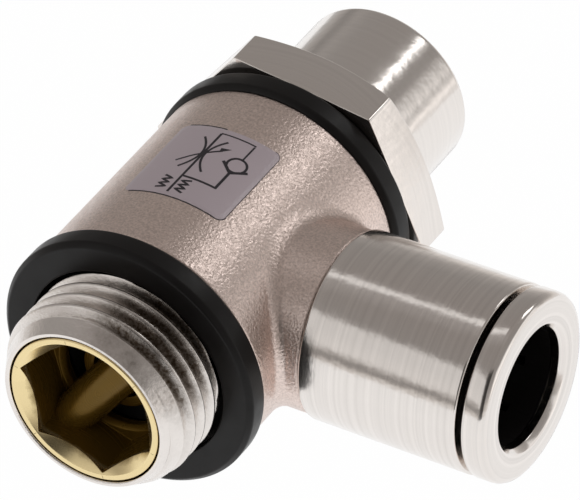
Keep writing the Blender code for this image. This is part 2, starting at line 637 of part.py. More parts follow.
def make_needle():
    """The adjusting needle: tapered tip, shoulder, grooved guide, threaded head with a slot."""
    tip = NOZZLE_BORE_RADIUS - CLEAR
    shoulder = NOZZLE_TOP + CLEAR
    stem = NEEDLE_STEM_DIAMETER / 2
    guide = SEAL_BORE_RADIUS - CLEAR
    groove = guide - NEEDLE_SEAL_SECTION - CLEAR
    low, high = needle_groove()
    head = ADJUSTER_BORE_RADIUS - CLEAR
    needle = turned("needle", [
        (0.0, shoulder - NEEDLE_TIP_LENGTH),
        (tip - NEEDLE_TIP_TAPER, shoulder - NEEDLE_TIP_LENGTH),
        (tip, shoulder - CLEAR),
        (tip, shoulder),
        (NOZZLE_RADIUS, shoulder),
        (NOZZLE_RADIUS, shoulder + NEEDLE_SHOULDER_HEIGHT),
        (stem, shoulder + NEEDLE_SHOULDER_HEIGHT + NOZZLE_RADIUS - stem),
        (stem, NEEDLE_GUIDE_BOTTOM - (guide - stem)),
        (guide, NEEDLE_GUIDE_BOTTOM),
        (guide, low),
        (groove, low),
        (groove, high),
        (guide, high),
        (guide, NEEDLE_GUIDE_TOP),
        (stem, NEEDLE_GUIDE_TOP + guide - stem),
        (stem, SEAL_BORE_TOP + CLEAR),
        (head, SEAL_BORE_TOP + CLEAR + head - stem),
        (head, NEEDLE_TOP - CLEAR),
        (head - CLEAR, NEEDLE_TOP),
        (0.0, NEEDLE_TOP),
    ], "brass", SMALL_ROUND)
    slot = block(
        "driver_slot",
        (-head - OVERSHOOT, -DRIVER_SLOT_WIDTH / 2, NEEDLE_TOP - DRIVER_SLOT_DEPTH),
        (head + OVERSHOOT, DRIVER_SLOT_WIDTH / 2, NEEDLE_TOP + OVERSHOOT))
    combine(needle, slot, "DIFFERENCE")
    return smooth(needle)


def needle_groove():
    """The needle seal's groove, from its low to its high side."""
    centre = (NEEDLE_GUIDE_BOTTOM + NEEDLE_GUIDE_TOP) / 2
    half = NEEDLE_SEAL_SECTION / 2 + CLEAR
    return centre - half, centre + half


def make_needle_seal():
    """The O-ring that rides in the needle's groove."""
    low, high = needle_groove()
    centre = SEAL_BORE_RADIUS - CLEAR - NEEDLE_SEAL_SECTION / 2
    outline = ring_section(centre, (low + high) / 2, NEEDLE_SEAL_SECTION)
    return smooth(turned("needle_seal", outline, "black_rubber", SMALL_ROUND), 60.0)


def make_needle_retainer():
    """The ring in the collar's pocket that stops the needle from being screwed right out."""
    outer = RETAINER_POCKET_RADIUS - CLEAR
    inner = ADJUSTER_BORE_RADIUS - CLEAR - RETAINER_OVERLAP
    bottom = RETAINER_SEAT + CLEAR
    top = bottom + RETAINER_HEIGHT
    bevel = RETAINER_BEVEL
    return smooth(turned("needle_retainer", [
        (inner, bottom),
        (outer, bottom),
        (outer, top - bevel),
        (outer - bevel, top),
        (inner + bevel, top),
        (inner, top - bevel),
    ], "turned_nickel", MEDIUM_ROUND))


def make_tube_sleeve():
    """The turned sleeve of the push-in socket, with its spigot, seal chamber and collet cone."""
    outer = SLEEVE_RADIUS
    spigot = SPIGOT_RADIUS
    groove = spigot - SPIGOT_SEAL_SECTION - CLEAR
    low, high = spigot_groove()
    stop = TUBE_STOP_RADIUS
    cone_end = SLEEVE_END - SLEEVE_MOUTH_LIP
    return lay_on_branch(smooth(turned("tube_sleeve", [
        (stop, SPIGOT_START),
        (spigot - CLEAR, SPIGOT_START),
        (spigot, SPIGOT_START + CLEAR),
        (spigot, low),
        (groove, low),
        (groove, high),
        (spigot, high),
        (spigot, SLEEVE_START),
        (outer - SLEEVE_BEVEL, SLEEVE_START),
        (outer, SLEEVE_START + SLEEVE_BEVEL),
        (outer, SLEEVE_END - SLEEVE_BEVEL),
        (outer - SLEEVE_BEVEL, SLEEVE_END),
        (SLEEVE_MOUTH_RADIUS, SLEEVE_END),
        (SLEEVE_MOUTH_RADIUS, cone_end),
        (SEAL_CHAMBER_RADIUS, cone_end - SLEEVE_CONE_LENGTH),
        (SEAL_CHAMBER_RADIUS, SEAL_SHOULDER),
        (TUBE_BORE_RADIUS, SEAL_SHOULDER),
        (TUBE_BORE_RADIUS, TUBE_STOP),
        (stop, TUBE_STOP),
    ], "turned_nickel")))


def spigot_groove():
    """The sleeve seal's groove on the spigot, from its low to its high side."""
    centre = (SPIGOT_START + SLEEVE_START) / 2
    return centre - SPIGOT_GROOVE_LENGTH / 2, centre + SPIGOT_GROOVE_LENGTH / 2


def make_sleeve_seal():
    """The O-ring between the sleeve's spigot and the neck's socket."""
    low, high = spigot_groove()
    centre = SPIGOT_RADIUS - SPIGOT_SEAL_SECTION / 2
    outline = ring_section(centre, (low + high) / 2, SPIGOT_SEAL_SECTION)
    return lay_on_branch(smooth(turned("sleeve_seal", outline, "black_rubber", MEDIUM_ROUND), 60.0))


def make_tube_seal():
    """The O-ring that grips the pushed-in tube."""
    centre = SEAL_CHAMBER_RADIUS - CLEAR - TUBE_SEAL_SECTION / 2
    outline = ring_section(centre, TUBE_SEAL_CENTRE, TUBE_SEAL_SECTION)
    return lay_on_branch(smooth(turned("tube_seal", outline, "black_rubber", MEDIUM_ROUND), 60.0))


def make_spacer_ring():
    """The ring that holds the tube seal back from the collet."""
    outer = SEAL_CHAMBER_RADIUS - CLEAR
    return lay_on_branch(smooth(turned("spacer_ring", [
        (TUBE_BORE_RADIUS, SPACER_START),
        (outer, SPACER_START),
        (outer, SPACER_END),
        (TUBE_BORE_RADIUS, SPACER_END),
    ], "white_plastic", MEDIUM_ROUND)))


def make_collet():
    """The slotted collet: spring fingers with thick heads and teeth that bite the tube."""
    tooth_pitch = COLLET_HEAD_LENGTH / (COLLET_TOOTH_COUNT + 1)
    head_end = COLLET_START + COLLET_HEAD_LENGTH
    outline = [
        (COLLET_BORE_RADIUS, COLLET_END),
        (COLLET_RADIUS, COLLET_END),
        (COLLET_RADIUS, head_end + COLLET_HEAD_RADIUS - COLLET_RADIUS),
        (COLLET_HEAD_RADIUS, head_end),
        (COLLET_HEAD_RADIUS, COLLET_START + CLEAR),
        (COLLET_HEAD_RADIUS - CLEAR, COLLET_START),
        (COLLET_BORE_RADIUS, COLLET_START),
    ]
    for k in range(COLLET_TOOTH_COUNT):
        root = COLLET_START + tooth_pitch * (k + 0.5)
        outline += [
            (COLLET_BORE_RADIUS, root),
            (COLLET_BORE_RADIUS - COLLET_TOOTH_HEIGHT, root + tooth_pitch * COLLET_TOOTH_CREST),
            (COLLET_BORE_RADIUS, root + tooth_pitch * COLLET_TOOTH_BACK),
        ]
    collet = turned("collet", outline[:1] + outline[:0:-1], "black_plastic", MEDIUM_ROUND)
    for k in range(COLLET_FINGER_COUNT):
        slot = block(
            f"collet_slot_{k}",
            (0.0, -COLLET_SLOT_WIDTH / 2, COLLET_START - OVERSHOOT),
            (COLLET_HEAD_RADIUS + OVERSHOOT, COLLET_SLOT_WIDTH / 2, COLLET_START + COLLET_SLOT_LENGTH),
            math.tau * (k + 0.5) / COLLET_FINGER_COUNT)
        combine(collet, slot, "DIFFERENCE")
    return lay_on_branch(smooth(collet))


def make_release_ring():
    """The ring that is pressed to free the tube, with a lead-in round its hole."""
    outer = SLEEVE_RADIUS
    pocket = COLLET_RADIUS + CLEAR
    outline = [
        (pocket, RING_START),
        (outer - SLEEVE_BEVEL, RING_START),
        (outer, RING_START + SLEEVE_BEVEL),
    ]
    for k in range(FILLET_STEPS + 1):
        angle = math.pi / 2 * k / FILLET_STEPS
        outline.append((
            outer - RING_ROUNDING * (1.0 - math.cos(angle)),
            RING_END - RING_ROUNDING * (1.0 - math.sin(angle))))
    outline += [
        (TUBE_BORE_RADIUS + RING_LEAD_IN, RING_END),
        (TUBE_BORE_RADIUS, RING_END - RING_LEAD_IN),
        (TUBE_BORE_RADIUS, RING_START + RING_POCKET_DEPTH),
        (pocket, RING_START + RING_POCKET_DEPTH),
    ]
    return lay_on_branch(smooth(turned("release_ring", outline, "turned_nickel")))


def main():
    """Build every piece of the valve."""
    clear_scene()
    make_hollow_screw()
    make_port_washer()
    make_hex_washer()
    make_throttle_insert()
    make_check_seal()
    make_needle_retainer()
    make_needle()
    make_needle_seal()
    make_banjo_body()
    make_tube_sleeve()
    make_sleeve_seal()
    make_tube_seal()
    make_spacer_ring()
    make_collet()
    make_release_ring()


main()
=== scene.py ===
"""Finished look of the banjo flow control valve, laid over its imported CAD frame."""

import math

import bmesh
import bpy
import numpy as np
from bpy.props import FloatProperty, FloatVectorProperty, PointerProperty
from mathutils import Matrix, Vector


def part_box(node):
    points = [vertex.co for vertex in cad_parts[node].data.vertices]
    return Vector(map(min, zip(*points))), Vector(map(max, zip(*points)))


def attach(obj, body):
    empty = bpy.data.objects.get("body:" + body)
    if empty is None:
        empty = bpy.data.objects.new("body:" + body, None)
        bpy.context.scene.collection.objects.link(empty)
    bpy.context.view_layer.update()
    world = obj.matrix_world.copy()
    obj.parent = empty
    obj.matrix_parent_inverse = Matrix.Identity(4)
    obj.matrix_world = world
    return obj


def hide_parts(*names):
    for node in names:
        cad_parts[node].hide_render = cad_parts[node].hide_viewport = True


bl_info = {
    "name": "Banjo flow control valve",
    "version": (1, 0, 0),
    "blender": (4, 5, 0),
    "location": "3D View > Sidebar > Valve",
    "description": "Builds the threads, turned faces, label and finishes of the valve",
    "category": "Add Mesh",
}

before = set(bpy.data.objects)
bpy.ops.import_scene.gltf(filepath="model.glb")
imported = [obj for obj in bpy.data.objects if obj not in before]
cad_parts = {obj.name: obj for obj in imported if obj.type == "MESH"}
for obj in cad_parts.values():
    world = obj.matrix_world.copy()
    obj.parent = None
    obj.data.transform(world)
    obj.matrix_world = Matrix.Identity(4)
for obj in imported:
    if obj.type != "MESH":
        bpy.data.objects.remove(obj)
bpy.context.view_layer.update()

MM = 0.001
ROUND = 240                 # columns of a turned piece
EASE_STEPS = 5              # points that round one corner of an outline
WELD = 1e-7                 # points nearer than this are one point


def node_size(node):
    """Lowest and highest corner of a CAD node as arrays."""
    low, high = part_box(node)
    return np.array(low), np.array(high)


SCREW_LOW, SCREW_HIGH = node_size("hollow_screw")
BODY_LOW, BODY_HIGH = node_size("banjo_body")
PORT_WASHER_LOW, PORT_WASHER_HIGH = node_size("port_washer")
HEX_WASHER_LOW, HEX_WASHER_HIGH = node_size("hex_washer")
INSERT_LOW, INSERT_HIGH = node_size("throttle_insert")
NEEDLE_LOW, NEEDLE_HIGH = node_size("needle")
RETAINER_LOW, RETAINER_HIGH = node_size("needle_retainer")
SLEEVE_LOW, SLEEVE_HIGH = node_size("tube_sleeve")
RING_LOW, RING_HIGH = node_size("release_ring")
BRANCH_HEIGHT = (SLEEVE_LOW[2] + SLEEVE_HIGH[2]) / 2


# Sizes and colours a user may change


def length(name, about, default):
    """A length property in metres."""
    return FloatProperty(name=name, description=about, default=default, precision=5, unit="LENGTH")


def angle(name, about, degrees):
    """An angle property."""
    return FloatProperty(name=name, description=about, default=math.radians(degrees), unit="ROTATION")


def share(name, about, default):
    """A plain number from 0 to 1."""
    return FloatProperty(name=name, description=about, default=default, min=0.0, max=1.0, subtype="FACTOR")


def colour(name, about, default):
    """A linear colour."""
    return FloatVectorProperty(
        name=name, description=about, default=default, size=3, min=0.0, max=1.0, subtype="COLOR")


class ScrewSizes(bpy.types.PropertyGroup):
    """Sizes of the hollow screw"""
    thread_radius: length("Thread radius", "Radius over the thread's crests", 10.4775 * MM)
    pitch: length("Pitch", "Distance from crest to crest", 1.814 * MM)
    thread_turn: angle("Thread turn", "Where the thread starts round the screw", 150.0)
    run_out: length("Run-out", "Height at which the thread ends in its relief", 0.4 * MM)
    nose_radius: length("Nose radius", "Radius of the thread's end face", 8.95 * MM)
    nose_slope: angle("Nose slope", "Slope of the long chamfer on the thread's end", 28.8)
    shoulder_radius: length("Shoulder radius", "Radius of the lands inside the body", 10.5975 * MM)
    bore_radius: length("Insert bore radius", "Radius of the insert's seat", 8.52 * MM)
    check_radius: length("Check bore radius", "Radius of the check valve's bore", 7.196 * MM)
    insert_seat: length("Insert seat", "Height of the ledge that the insert seats on", -0.715 * MM)
    hex_flats: length("Across flats", "Width of the hexagon across its flats", 27.0 * MM)
    hex_bottom: length("Hexagon's underside", "Height of the hexagon's underside", 31.0 * MM)
    hex_top: length("Hexagon's top", "Height of the hexagon's top", 36.4 * MM)
    hex_turn: angle("Hexagon turn", "Angle of the first corner", 8.0)
    chamfer: angle("Chamfer", "Slope of the cone that cuts the hexagon's corners", 30.0)
    collar_radius: length("Collar radius", "Radius of the collar", 9.45 * MM)
    collar_edge: length("Collar edge", "Width of the collar's broken edge", 0.6 * MM)


class BodySizes(bpy.types.PropertyGroup):
    """Sizes of the banjo body"""
    barrel_radius: length("Barrel radius", "Outer radius of the barrel", -BODY_LOW[0])
    edge: length("Edge", "Rounding of the barrel's ends", 0.45 * MM)
    bore_radius: length("Bore radius", "Radius of the bore for the screw", 10.8975 * MM)
    gallery_radius: length("Gallery radius", "Radius of the air gallery", 11.8975 * MM)
    neck_radius: length("Neck radius", "Outer radius of the neck", 9.5 * MM)
    fillet: length("Fillet", "Rounding where the neck leaves the barrel", 1.0 * MM)
    socket_radius: length("Socket radius", "Radius of the seat for the sleeve's spigot", 8.2 * MM)
    socket_depth: length("Socket depth", "Depth of that seat", 3.4 * MM)
    passage_radius: length("Passage radius", "Radius of the branch's air passage", 5.6 * MM)
    window: angle("Window", "Half width of the grid that meets the neck", 62.0)


class SocketSizes(bpy.types.PropertyGroup):
    """Sizes of the push-in socket"""
    sleeve_start: length("Sleeve start", "Where the sleeve meets the neck", BODY_HIGH[0] + 0.03 * MM)
    edge: length("Edge", "Rounding of the sleeve's and ring's edges", 0.30 * MM)
    ring_round: length("Ring rounding", "Rounding of the release ring's outer edge", 1.05 * MM)
    tube_radius: length("Bore radius", "Radius of the bore for the tube", 6.2 * MM)
    lead_in: length("Lead-in", "Width of the chamfer round the hole", 0.65 * MM)


class InsertSizes(bpy.types.PropertyGroup):
    """Sizes of the brass throttle insert"""
    radius: length("Radius", "Outer radius of the plug", 8.34 * MM)
    face: length("Face", "Height of the insert's outer face", SCREW_LOW[2] + 0.08 * MM)
    rim: length("Rim", "Flat rim round the countersink", 0.62 * MM)
    flat_wall: length("Flat wall", "Wall left outside the middles of the hexagon's flats", 1.76 * MM)
    corner_wall: length("Corner wall", "Wall left outside the hexagon's rounded corners", 0.73 * MM)
    mouth_turn: angle("Mouth turn", "Angle of the hexagon's first corner", 18.0)
    countersink: share("Countersink slope", "Depth of the countersink for each unit of width", 0.90)
    top: length("Top", "Height of the insert's inner end", -1.015 * MM)
    ledge: length("Ledge", "Thickness left behind the hexagon", 1.2 * MM)
    ledge_width: length("Ledge width", "Width of the ledge at the hexagon's flats", 0.7 * MM)
    ledge_chamfer: length("Ledge chamfer", "Chamfer round the passage", 0.45 * MM)
    bar_turn: angle("Bar turn", "Direction of the bar across the mouth", -52.0)
    bar_depth: length("Bar depth", "How far the bar's crest lies inside the face", 2.7 * MM)
    bar_width: length("Bar width", "Width of the bar", 4.4 * MM)
    bar_crown: length("Bar crown", "Height of the bar's crowned front", 2.2 * MM)
    nozzle_radius: length("Nozzle radius", "Outer radius of the nozzle", 3.896 * MM)
    nozzle_bore: length("Nozzle bore", "Radius of the nozzle's bore", 2.796 * MM)


class LabelSizes(bpy.types.PropertyGroup):
    """Place and size of the label on the barrel"""
    left: length("Left", "Left edge, along the barrel's surface from its underside line", -6.25 * MM)
    right: length("Right", "Right edge", 5.35 * MM)
    bottom: length("Bottom", "Lower edge above the port face", 10.15 * MM)
    top: length("Top", "Upper edge above the port face", 21.7 * MM)
    corner: length("Corner", "Rounding of the corners", 0.8 * MM)
    thickness: length("Thickness", "How far the label stands proud", 0.04 * MM)
    line: length("Line width", "Width of the symbol's lines", 0.26 * MM)
    field: colour("Field", "Colour of the label", (0.655, 0.575, 0.63))
    # The symbol's print, and also the colour of the painted shadow along the label's lower, right and upper left edges.
    ink_and_edge_shadow: colour("Ink", "Colour of the symbol", (0.030, 0.026, 0.034))


class Finishes(bpy.types.PropertyGroup):
    """Colours and gloss of the materials"""
    nickel: colour("Nickel", "Polished nickel plating", (0.84, 0.795, 0.76))
    nickel_rough: share("Nickel roughness", "Roughness of the polished nickel", 0.14)
    # Grime and painted shade: the thread's grooves are darkened towards this colour, most on the side that faced up.
    grime_and_shade: colour("Grime", "What has settled in the thread's grooves", (0.095, 0.070, 0.048))
    blasted: colour("Blasted nickel", "Nickel over the blasted body", (0.80, 0.67, 0.615))
    blasted_rough: share("Blasted roughness", "Roughness of the blasted body", 0.34)
    brass: colour("Brass", "Bare brass", (0.88, 0.72, 0.40))
    # Painted shade: the brass deeper inside the insert's mouth is darkened towards this colour.
    shade_inside: colour("Stained brass", "Brass inside the insert's mouth", (0.165, 0.095, 0.013))
    plastic: colour("Plastic", "Black plastic of the washers", (0.010, 0.009, 0.009))


class StageSizes(bpy.types.PropertyGroup):
    """Camera, lamps and floor"""
    lens: FloatProperty(name="Lens", description="Focal length of the camera", default=471.4, unit="CAMERA")
    floor: length("Floor", "How far the floor lies from the screw's axis", 14.6 * MM)
    floor_width: length("Floor width", "Width of the floor", 220.0 * MM)
    key: FloatProperty(name="Key", description="Power of the key lamp", default=0.5, unit="POWER")


GROUPS = {
    "valve_screw": ScrewSizes,
    "valve_body": BodySizes,
    "valve_socket": SocketSizes,
    "valve_insert": InsertSizes,
    "valve_label": LabelSizes,
    "valve_finish": Finishes,
    "valve_stage": StageSizes,
}


# Surfaces


def eased(corners, cut, closed=True):
    """Round an outline's corners.

    Each corner C is replaced by the curve (1-t)^2 A + 2t(1-t) C + t^2 B, where A and B lie
    on the two sides at the distance cut from C, or at 45% of a side that is too short.
    Corners have the shape (corner, column, 2), so an outline may differ from column to column.
    """
    corners = np.asarray(corners, float)
    if corners.ndim == 2:
        corners = corners[:, None, :]
    cut = np.broadcast_to(np.asarray(cut, float), (len(corners),)).copy()
    if not closed:
        cut[0] = cut[-1] = 0.0
    before = np.roll(corners, 1, axis=0) - corners
    after = np.roll(corners, -1, axis=0) - corners
    reach_before = np.linalg.norm(before, axis=-1, keepdims=True) + 1e-12
    reach_after = np.linalg.norm(after, axis=-1, keepdims=True) + 1e-12
    step = cut[:, None, None]
    start = corners + before / reach_before * np.minimum(step, 0.45 * reach_before)
    end = corners + after / reach_after * np.minimum(step, 0.45 * reach_after)
    t = np.linspace(0.0, 1.0, EASE_STEPS)[None, :, None, None]
    curve = (1 - t) ** 2 * start[:, None] + 2 * t * (1 - t) * corners[:, None] + t ** 2 * end[:, None]
    return curve.reshape(-1, corners.shape[1], 2)


def turned(rows, angles, along="Z"):
    """Carry an outline round an axis.

    A row holds (radius, station) for each column, or one pair for all of them. Round Z the
    point is (radius cos a, radius sin a, station), and round the branch it is
    (station, radius cos a, branch height + radius sin a).
    """
    rows = np.broadcast_to(rows, (len(rows), len(angles), 2))
    radius, station = rows[..., 0], rows[..., 1]
    across, up = radius * np.cos(angles), radius * np.sin(angles)
    if along == "Z":
        return np.stack([across, up, station], axis=-1)
    return np.stack([station, across, BRANCH_HEIGHT + up], axis=-1)


def sheet_faces(rows, columns, wrap_rows, wrap_columns, first=0):
    """Indices of the four-sided faces of a grid, whose rows and columns may close on themselves."""
    row = np.arange(rows if wrap_rows else rows - 1)[:, None]
    column = np.arange(columns if wrap_columns else columns - 1)[None, :]
    next_row, next_column = (row + 1) % rows, (column + 1) % columns
    corners = [
        row * columns + column, row * columns + next_column,
        next_row * columns + next_column, next_row * columns + column]
    return np.stack([np.broadcast_to(c, (row.size, column.size)) for c in corners], -1).reshape(-1, 4) + first


def full_turn(count=ROUND, start=0.0):
    """Evenly spaced angles of one turn."""
    return start + math.tau * np.arange(count) / count


def mesh_object(name, sheets, sharp=32.0, outward=True):
    """Join grids into one welded mesh.

    Each sheet is (points, wrap_rows, wrap_columns). Points that meet are merged, so seams and
    poles close, and the faces are turned outwards.
    """
    points, faces, first = [], [], 0
    for grid, wrap_rows, wrap_columns in sheets:
        rows, columns = grid.shape[:2]
        points.append(grid.reshape(-1, 3))
        faces.append(sheet_faces(rows, columns, wrap_rows, wrap_columns, first))
        first += rows * columns
    points, faces = np.concatenate(points), np.concatenate(faces)
    mesh = bpy.data.meshes.new(name)
    mesh.vertices.add(len(points))
    mesh.vertices.foreach_set("co", points.ravel())
    mesh.loops.add(faces.size)
    mesh.loops.foreach_set("vertex_index", faces.ravel())
    mesh.polygons.add(len(faces))
    mesh.polygons.foreach_set("loop_start", np.arange(0, faces.size, 4))
    mesh.update(calc_edges=True)
    bm = bmesh.new()
    bm.from_mesh(mesh)
    bmesh.ops.remove_doubles(bm, verts=bm.verts, dist=WELD)
    bmesh.ops.dissolve_degenerate(bm, edges=bm.edges, dist=WELD)
    if outward:
        bmesh.ops.recalc_face_normals(bm, faces=bm.faces)
    bm.to_mesh(mesh)
    bm.free()
    mesh.shade_smooth()
    mesh.set_sharp_from_angle(angle=math.radians(sharp))
    item = bpy.data.objects.new(name, mesh)
    bpy.context.scene.collection.objects.link(item)
    return item


def carve(item, cutter, sharp=32.0):
    """Take the cutter's shape out of the piece for good."""
    modifier = item.modifiers.new("cut", "BOOLEAN")
    modifier.object = cutter
    modifier.operation = "DIFFERENCE"
    modifier.solver = "EXACT"
    bpy.context.view_layer.update()
    shaped = bpy.data.meshes.new_from_object(item.evaluated_get(bpy.context.evaluated_depsgraph_get()))
    item.modifiers.remove(modifier)
    item.data = shaped
    bpy.data.objects.remove(cutter, do_unlink=True)
    shaped.shade_smooth()
    shaped.set_sharp_from_angle(angle=math.radians(sharp))
    return item


def dress(item, material, slot, body, *nodes):
    """Give a piece its material and its body, and let it stand for its nodes; the slot is not used."""
    item.data.materials.clear()
    item.data.materials.append(material)
    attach(item, body)
    if nodes:
        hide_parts(*nodes)
    return item


def repaint(node, material):
    """Put a finished material in a CAD node's slots."""
    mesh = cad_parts[node].data
    for k in range(max(1, len(mesh.materials))):
        if k < len(mesh.materials):
            mesh.materials[k] = material
        else:
            mesh.materials.append(material)


# Materials


def add(tree, kind, inputs=(), **settings):
    """Add a shader node with its settings and input values."""
    node = tree.nodes.new(kind)
    for key, value in settings.items():
        setattr(node, key, value)
    for key, value in dict(inputs).items():
        node.inputs[key].default_value = value
    return node


def new_material(name, base, metallic, roughness):
    """A material whose Principled shader has plain starting values."""
    material = bpy.data.materials.new(name)
    material.use_nodes = True
    material.diffuse_color = (*base, 1.0)
    tree = material.node_tree
    shader = tree.nodes["Principled BSDF"]
    shader.inputs["Base Color"].default_value = (*base, 1.0)
    shader.inputs["Metallic"].default_value = metallic
    shader.inputs["Roughness"].default_value = roughness
    return material, tree, shader


def lathe_coordinate(tree, along):
    """Station along the axis plus distance from it, which runs across every tool mark."""
    place = add(tree, "ShaderNodeTexCoord").outputs["Object"]
    if along == "Z":
        flat, centre = (1.0, 1.0, 0.0), (0.0, 0.0, 0.0)
    else:
        flat, centre = (0.0, 1.0, 1.0), (0.0, 0.0, -BRANCH_HEIGHT)
    moved = add(tree, "ShaderNodeVectorMath", {1: centre}, operation="ADD")
    tree.links.new(place, moved.inputs[0])
    flattened = add(tree, "ShaderNodeVectorMath", {1: flat}, operation="MULTIPLY")
    tree.links.new(moved.outputs[0], flattened.inputs[0])
    distance = add(tree, "ShaderNodeVectorMath", operation="LENGTH")
    tree.links.new(flattened.outputs[0], distance.inputs[0])
    split = add(tree, "ShaderNodeSeparateXYZ")
    tree.links.new(place, split.inputs[0])
    total = add(tree, "ShaderNodeMath", operation="ADD")
    tree.links.new(distance.outputs["Value"], total.inputs[0])
    tree.links.new(split.outputs[along if along == "Z" else "X"], total.inputs[1])
    return place, total.outputs[0]


def spread(tree, value, low, high):
    """Map a noise value from 0.3 .. 0.7 to low .. high."""
    node = add(tree, "ShaderNodeMapRange", {"From Min": 0.3, "From Max": 0.7, "To Min": low, "To Max": high})
    tree.links.new(value, node.inputs["Value"])
    return node.outputs["Result"]


def turned_metal(
        name, base, roughness, along, mark=0.09 * MM, depth=0.0012 * MM, wear=0.05, band=0.05, wave=0.010 * MM):
    """Metal with the fine rings that a lathe leaves, and faint patches of handling.

    Two ring noises run across the tool marks, a fine one in the bump and a wide one that
    darkens the colour by up to the share band. A soft noise bends the surface a little.
    """
    material, tree, shader = new_material(name, base, 1.0, roughness)
    place, across = lathe_coordinate(tree, along)
    rings = ring_noise(tree, across, mark, 3.0)
    bands = ring_noise(tree, across, 5.5 * mark, 4.0)
    patches = add(tree, "ShaderNodeTexNoise", {"Scale": 260.0, "Detail": 4.0, "Roughness": 0.55})
    tree.links.new(place, patches.inputs["Vector"])
    mix = add(tree, "ShaderNodeMath", operation="MULTIPLY_ADD")
    mix.inputs[1].default_value = 0.5
    tree.links.new(rings, mix.inputs[0])
    half = add(tree, "ShaderNodeMath", {1: 0.5}, operation="MULTIPLY")
    tree.links.new(patches.outputs[0], half.inputs[0])
    tree.links.new(half.outputs[0], mix.inputs[2])
    tree.links.new(spread(tree, mix.outputs[0], roughness - wear, roughness + wear), shader.inputs["Roughness"])
    dull = tuple(c * (1.0 - band) for c in base)
    shade_towards(tree, shader, spread(tree, bands, 0.0, 1.0), base, dull)
    waves = add(tree, "ShaderNodeTexNoise", {"Scale": 640.0, "Detail": 2.0, "Roughness": 0.5})
    tree.links.new(place, waves.inputs["Vector"])
    bent = add(tree, "ShaderNodeBump", {"Strength": 1.0, "Distance": wave})
    tree.links.new(waves.outputs[0], bent.inputs["Height"])
    bump = add(tree, "ShaderNodeBump", {"Strength": 1.0, "Distance": depth})
    tree.links.new(rings, bump.inputs["Height"])
    tree.links.new(bent.outputs[0], bump.inputs["Normal"])
    tree.links.new(bump.outputs[0], shader.inputs["Normal"])
    return material


def ring_noise(tree, across, width, detail):
    """A noise of rings of about this width."""
    node = add(tree, "ShaderNodeTexNoise", {
        "Scale": 1.0 / width, "Detail": detail, "Roughness": 0.6}, noise_dimensions="1D")
    tree.links.new(across, node.inputs["W"])
    return node.outputs[0]


def shade_towards(tree, shader, amount, plain, other):
    """Give the base colour a mix of two colours by an amount from 0 to 1."""
    tint = add(tree, "ShaderNodeMix", data_type="RGBA")
    tint.inputs[6].default_value = (*plain, 1.0)
    tint.inputs[7].default_value = (*other, 1.0)
    tree.links.new(amount, tint.inputs[0])
    tree.links.new(tint.outputs[2], shader.inputs["Base Color"])


# The direction from the screw's axis that lay uppermost, where the thread's grooves get the most painted shade
UP_SIDE = (math.cos(math.radians(-48.0)), math.sin(math.radians(-48.0)), 0.0)


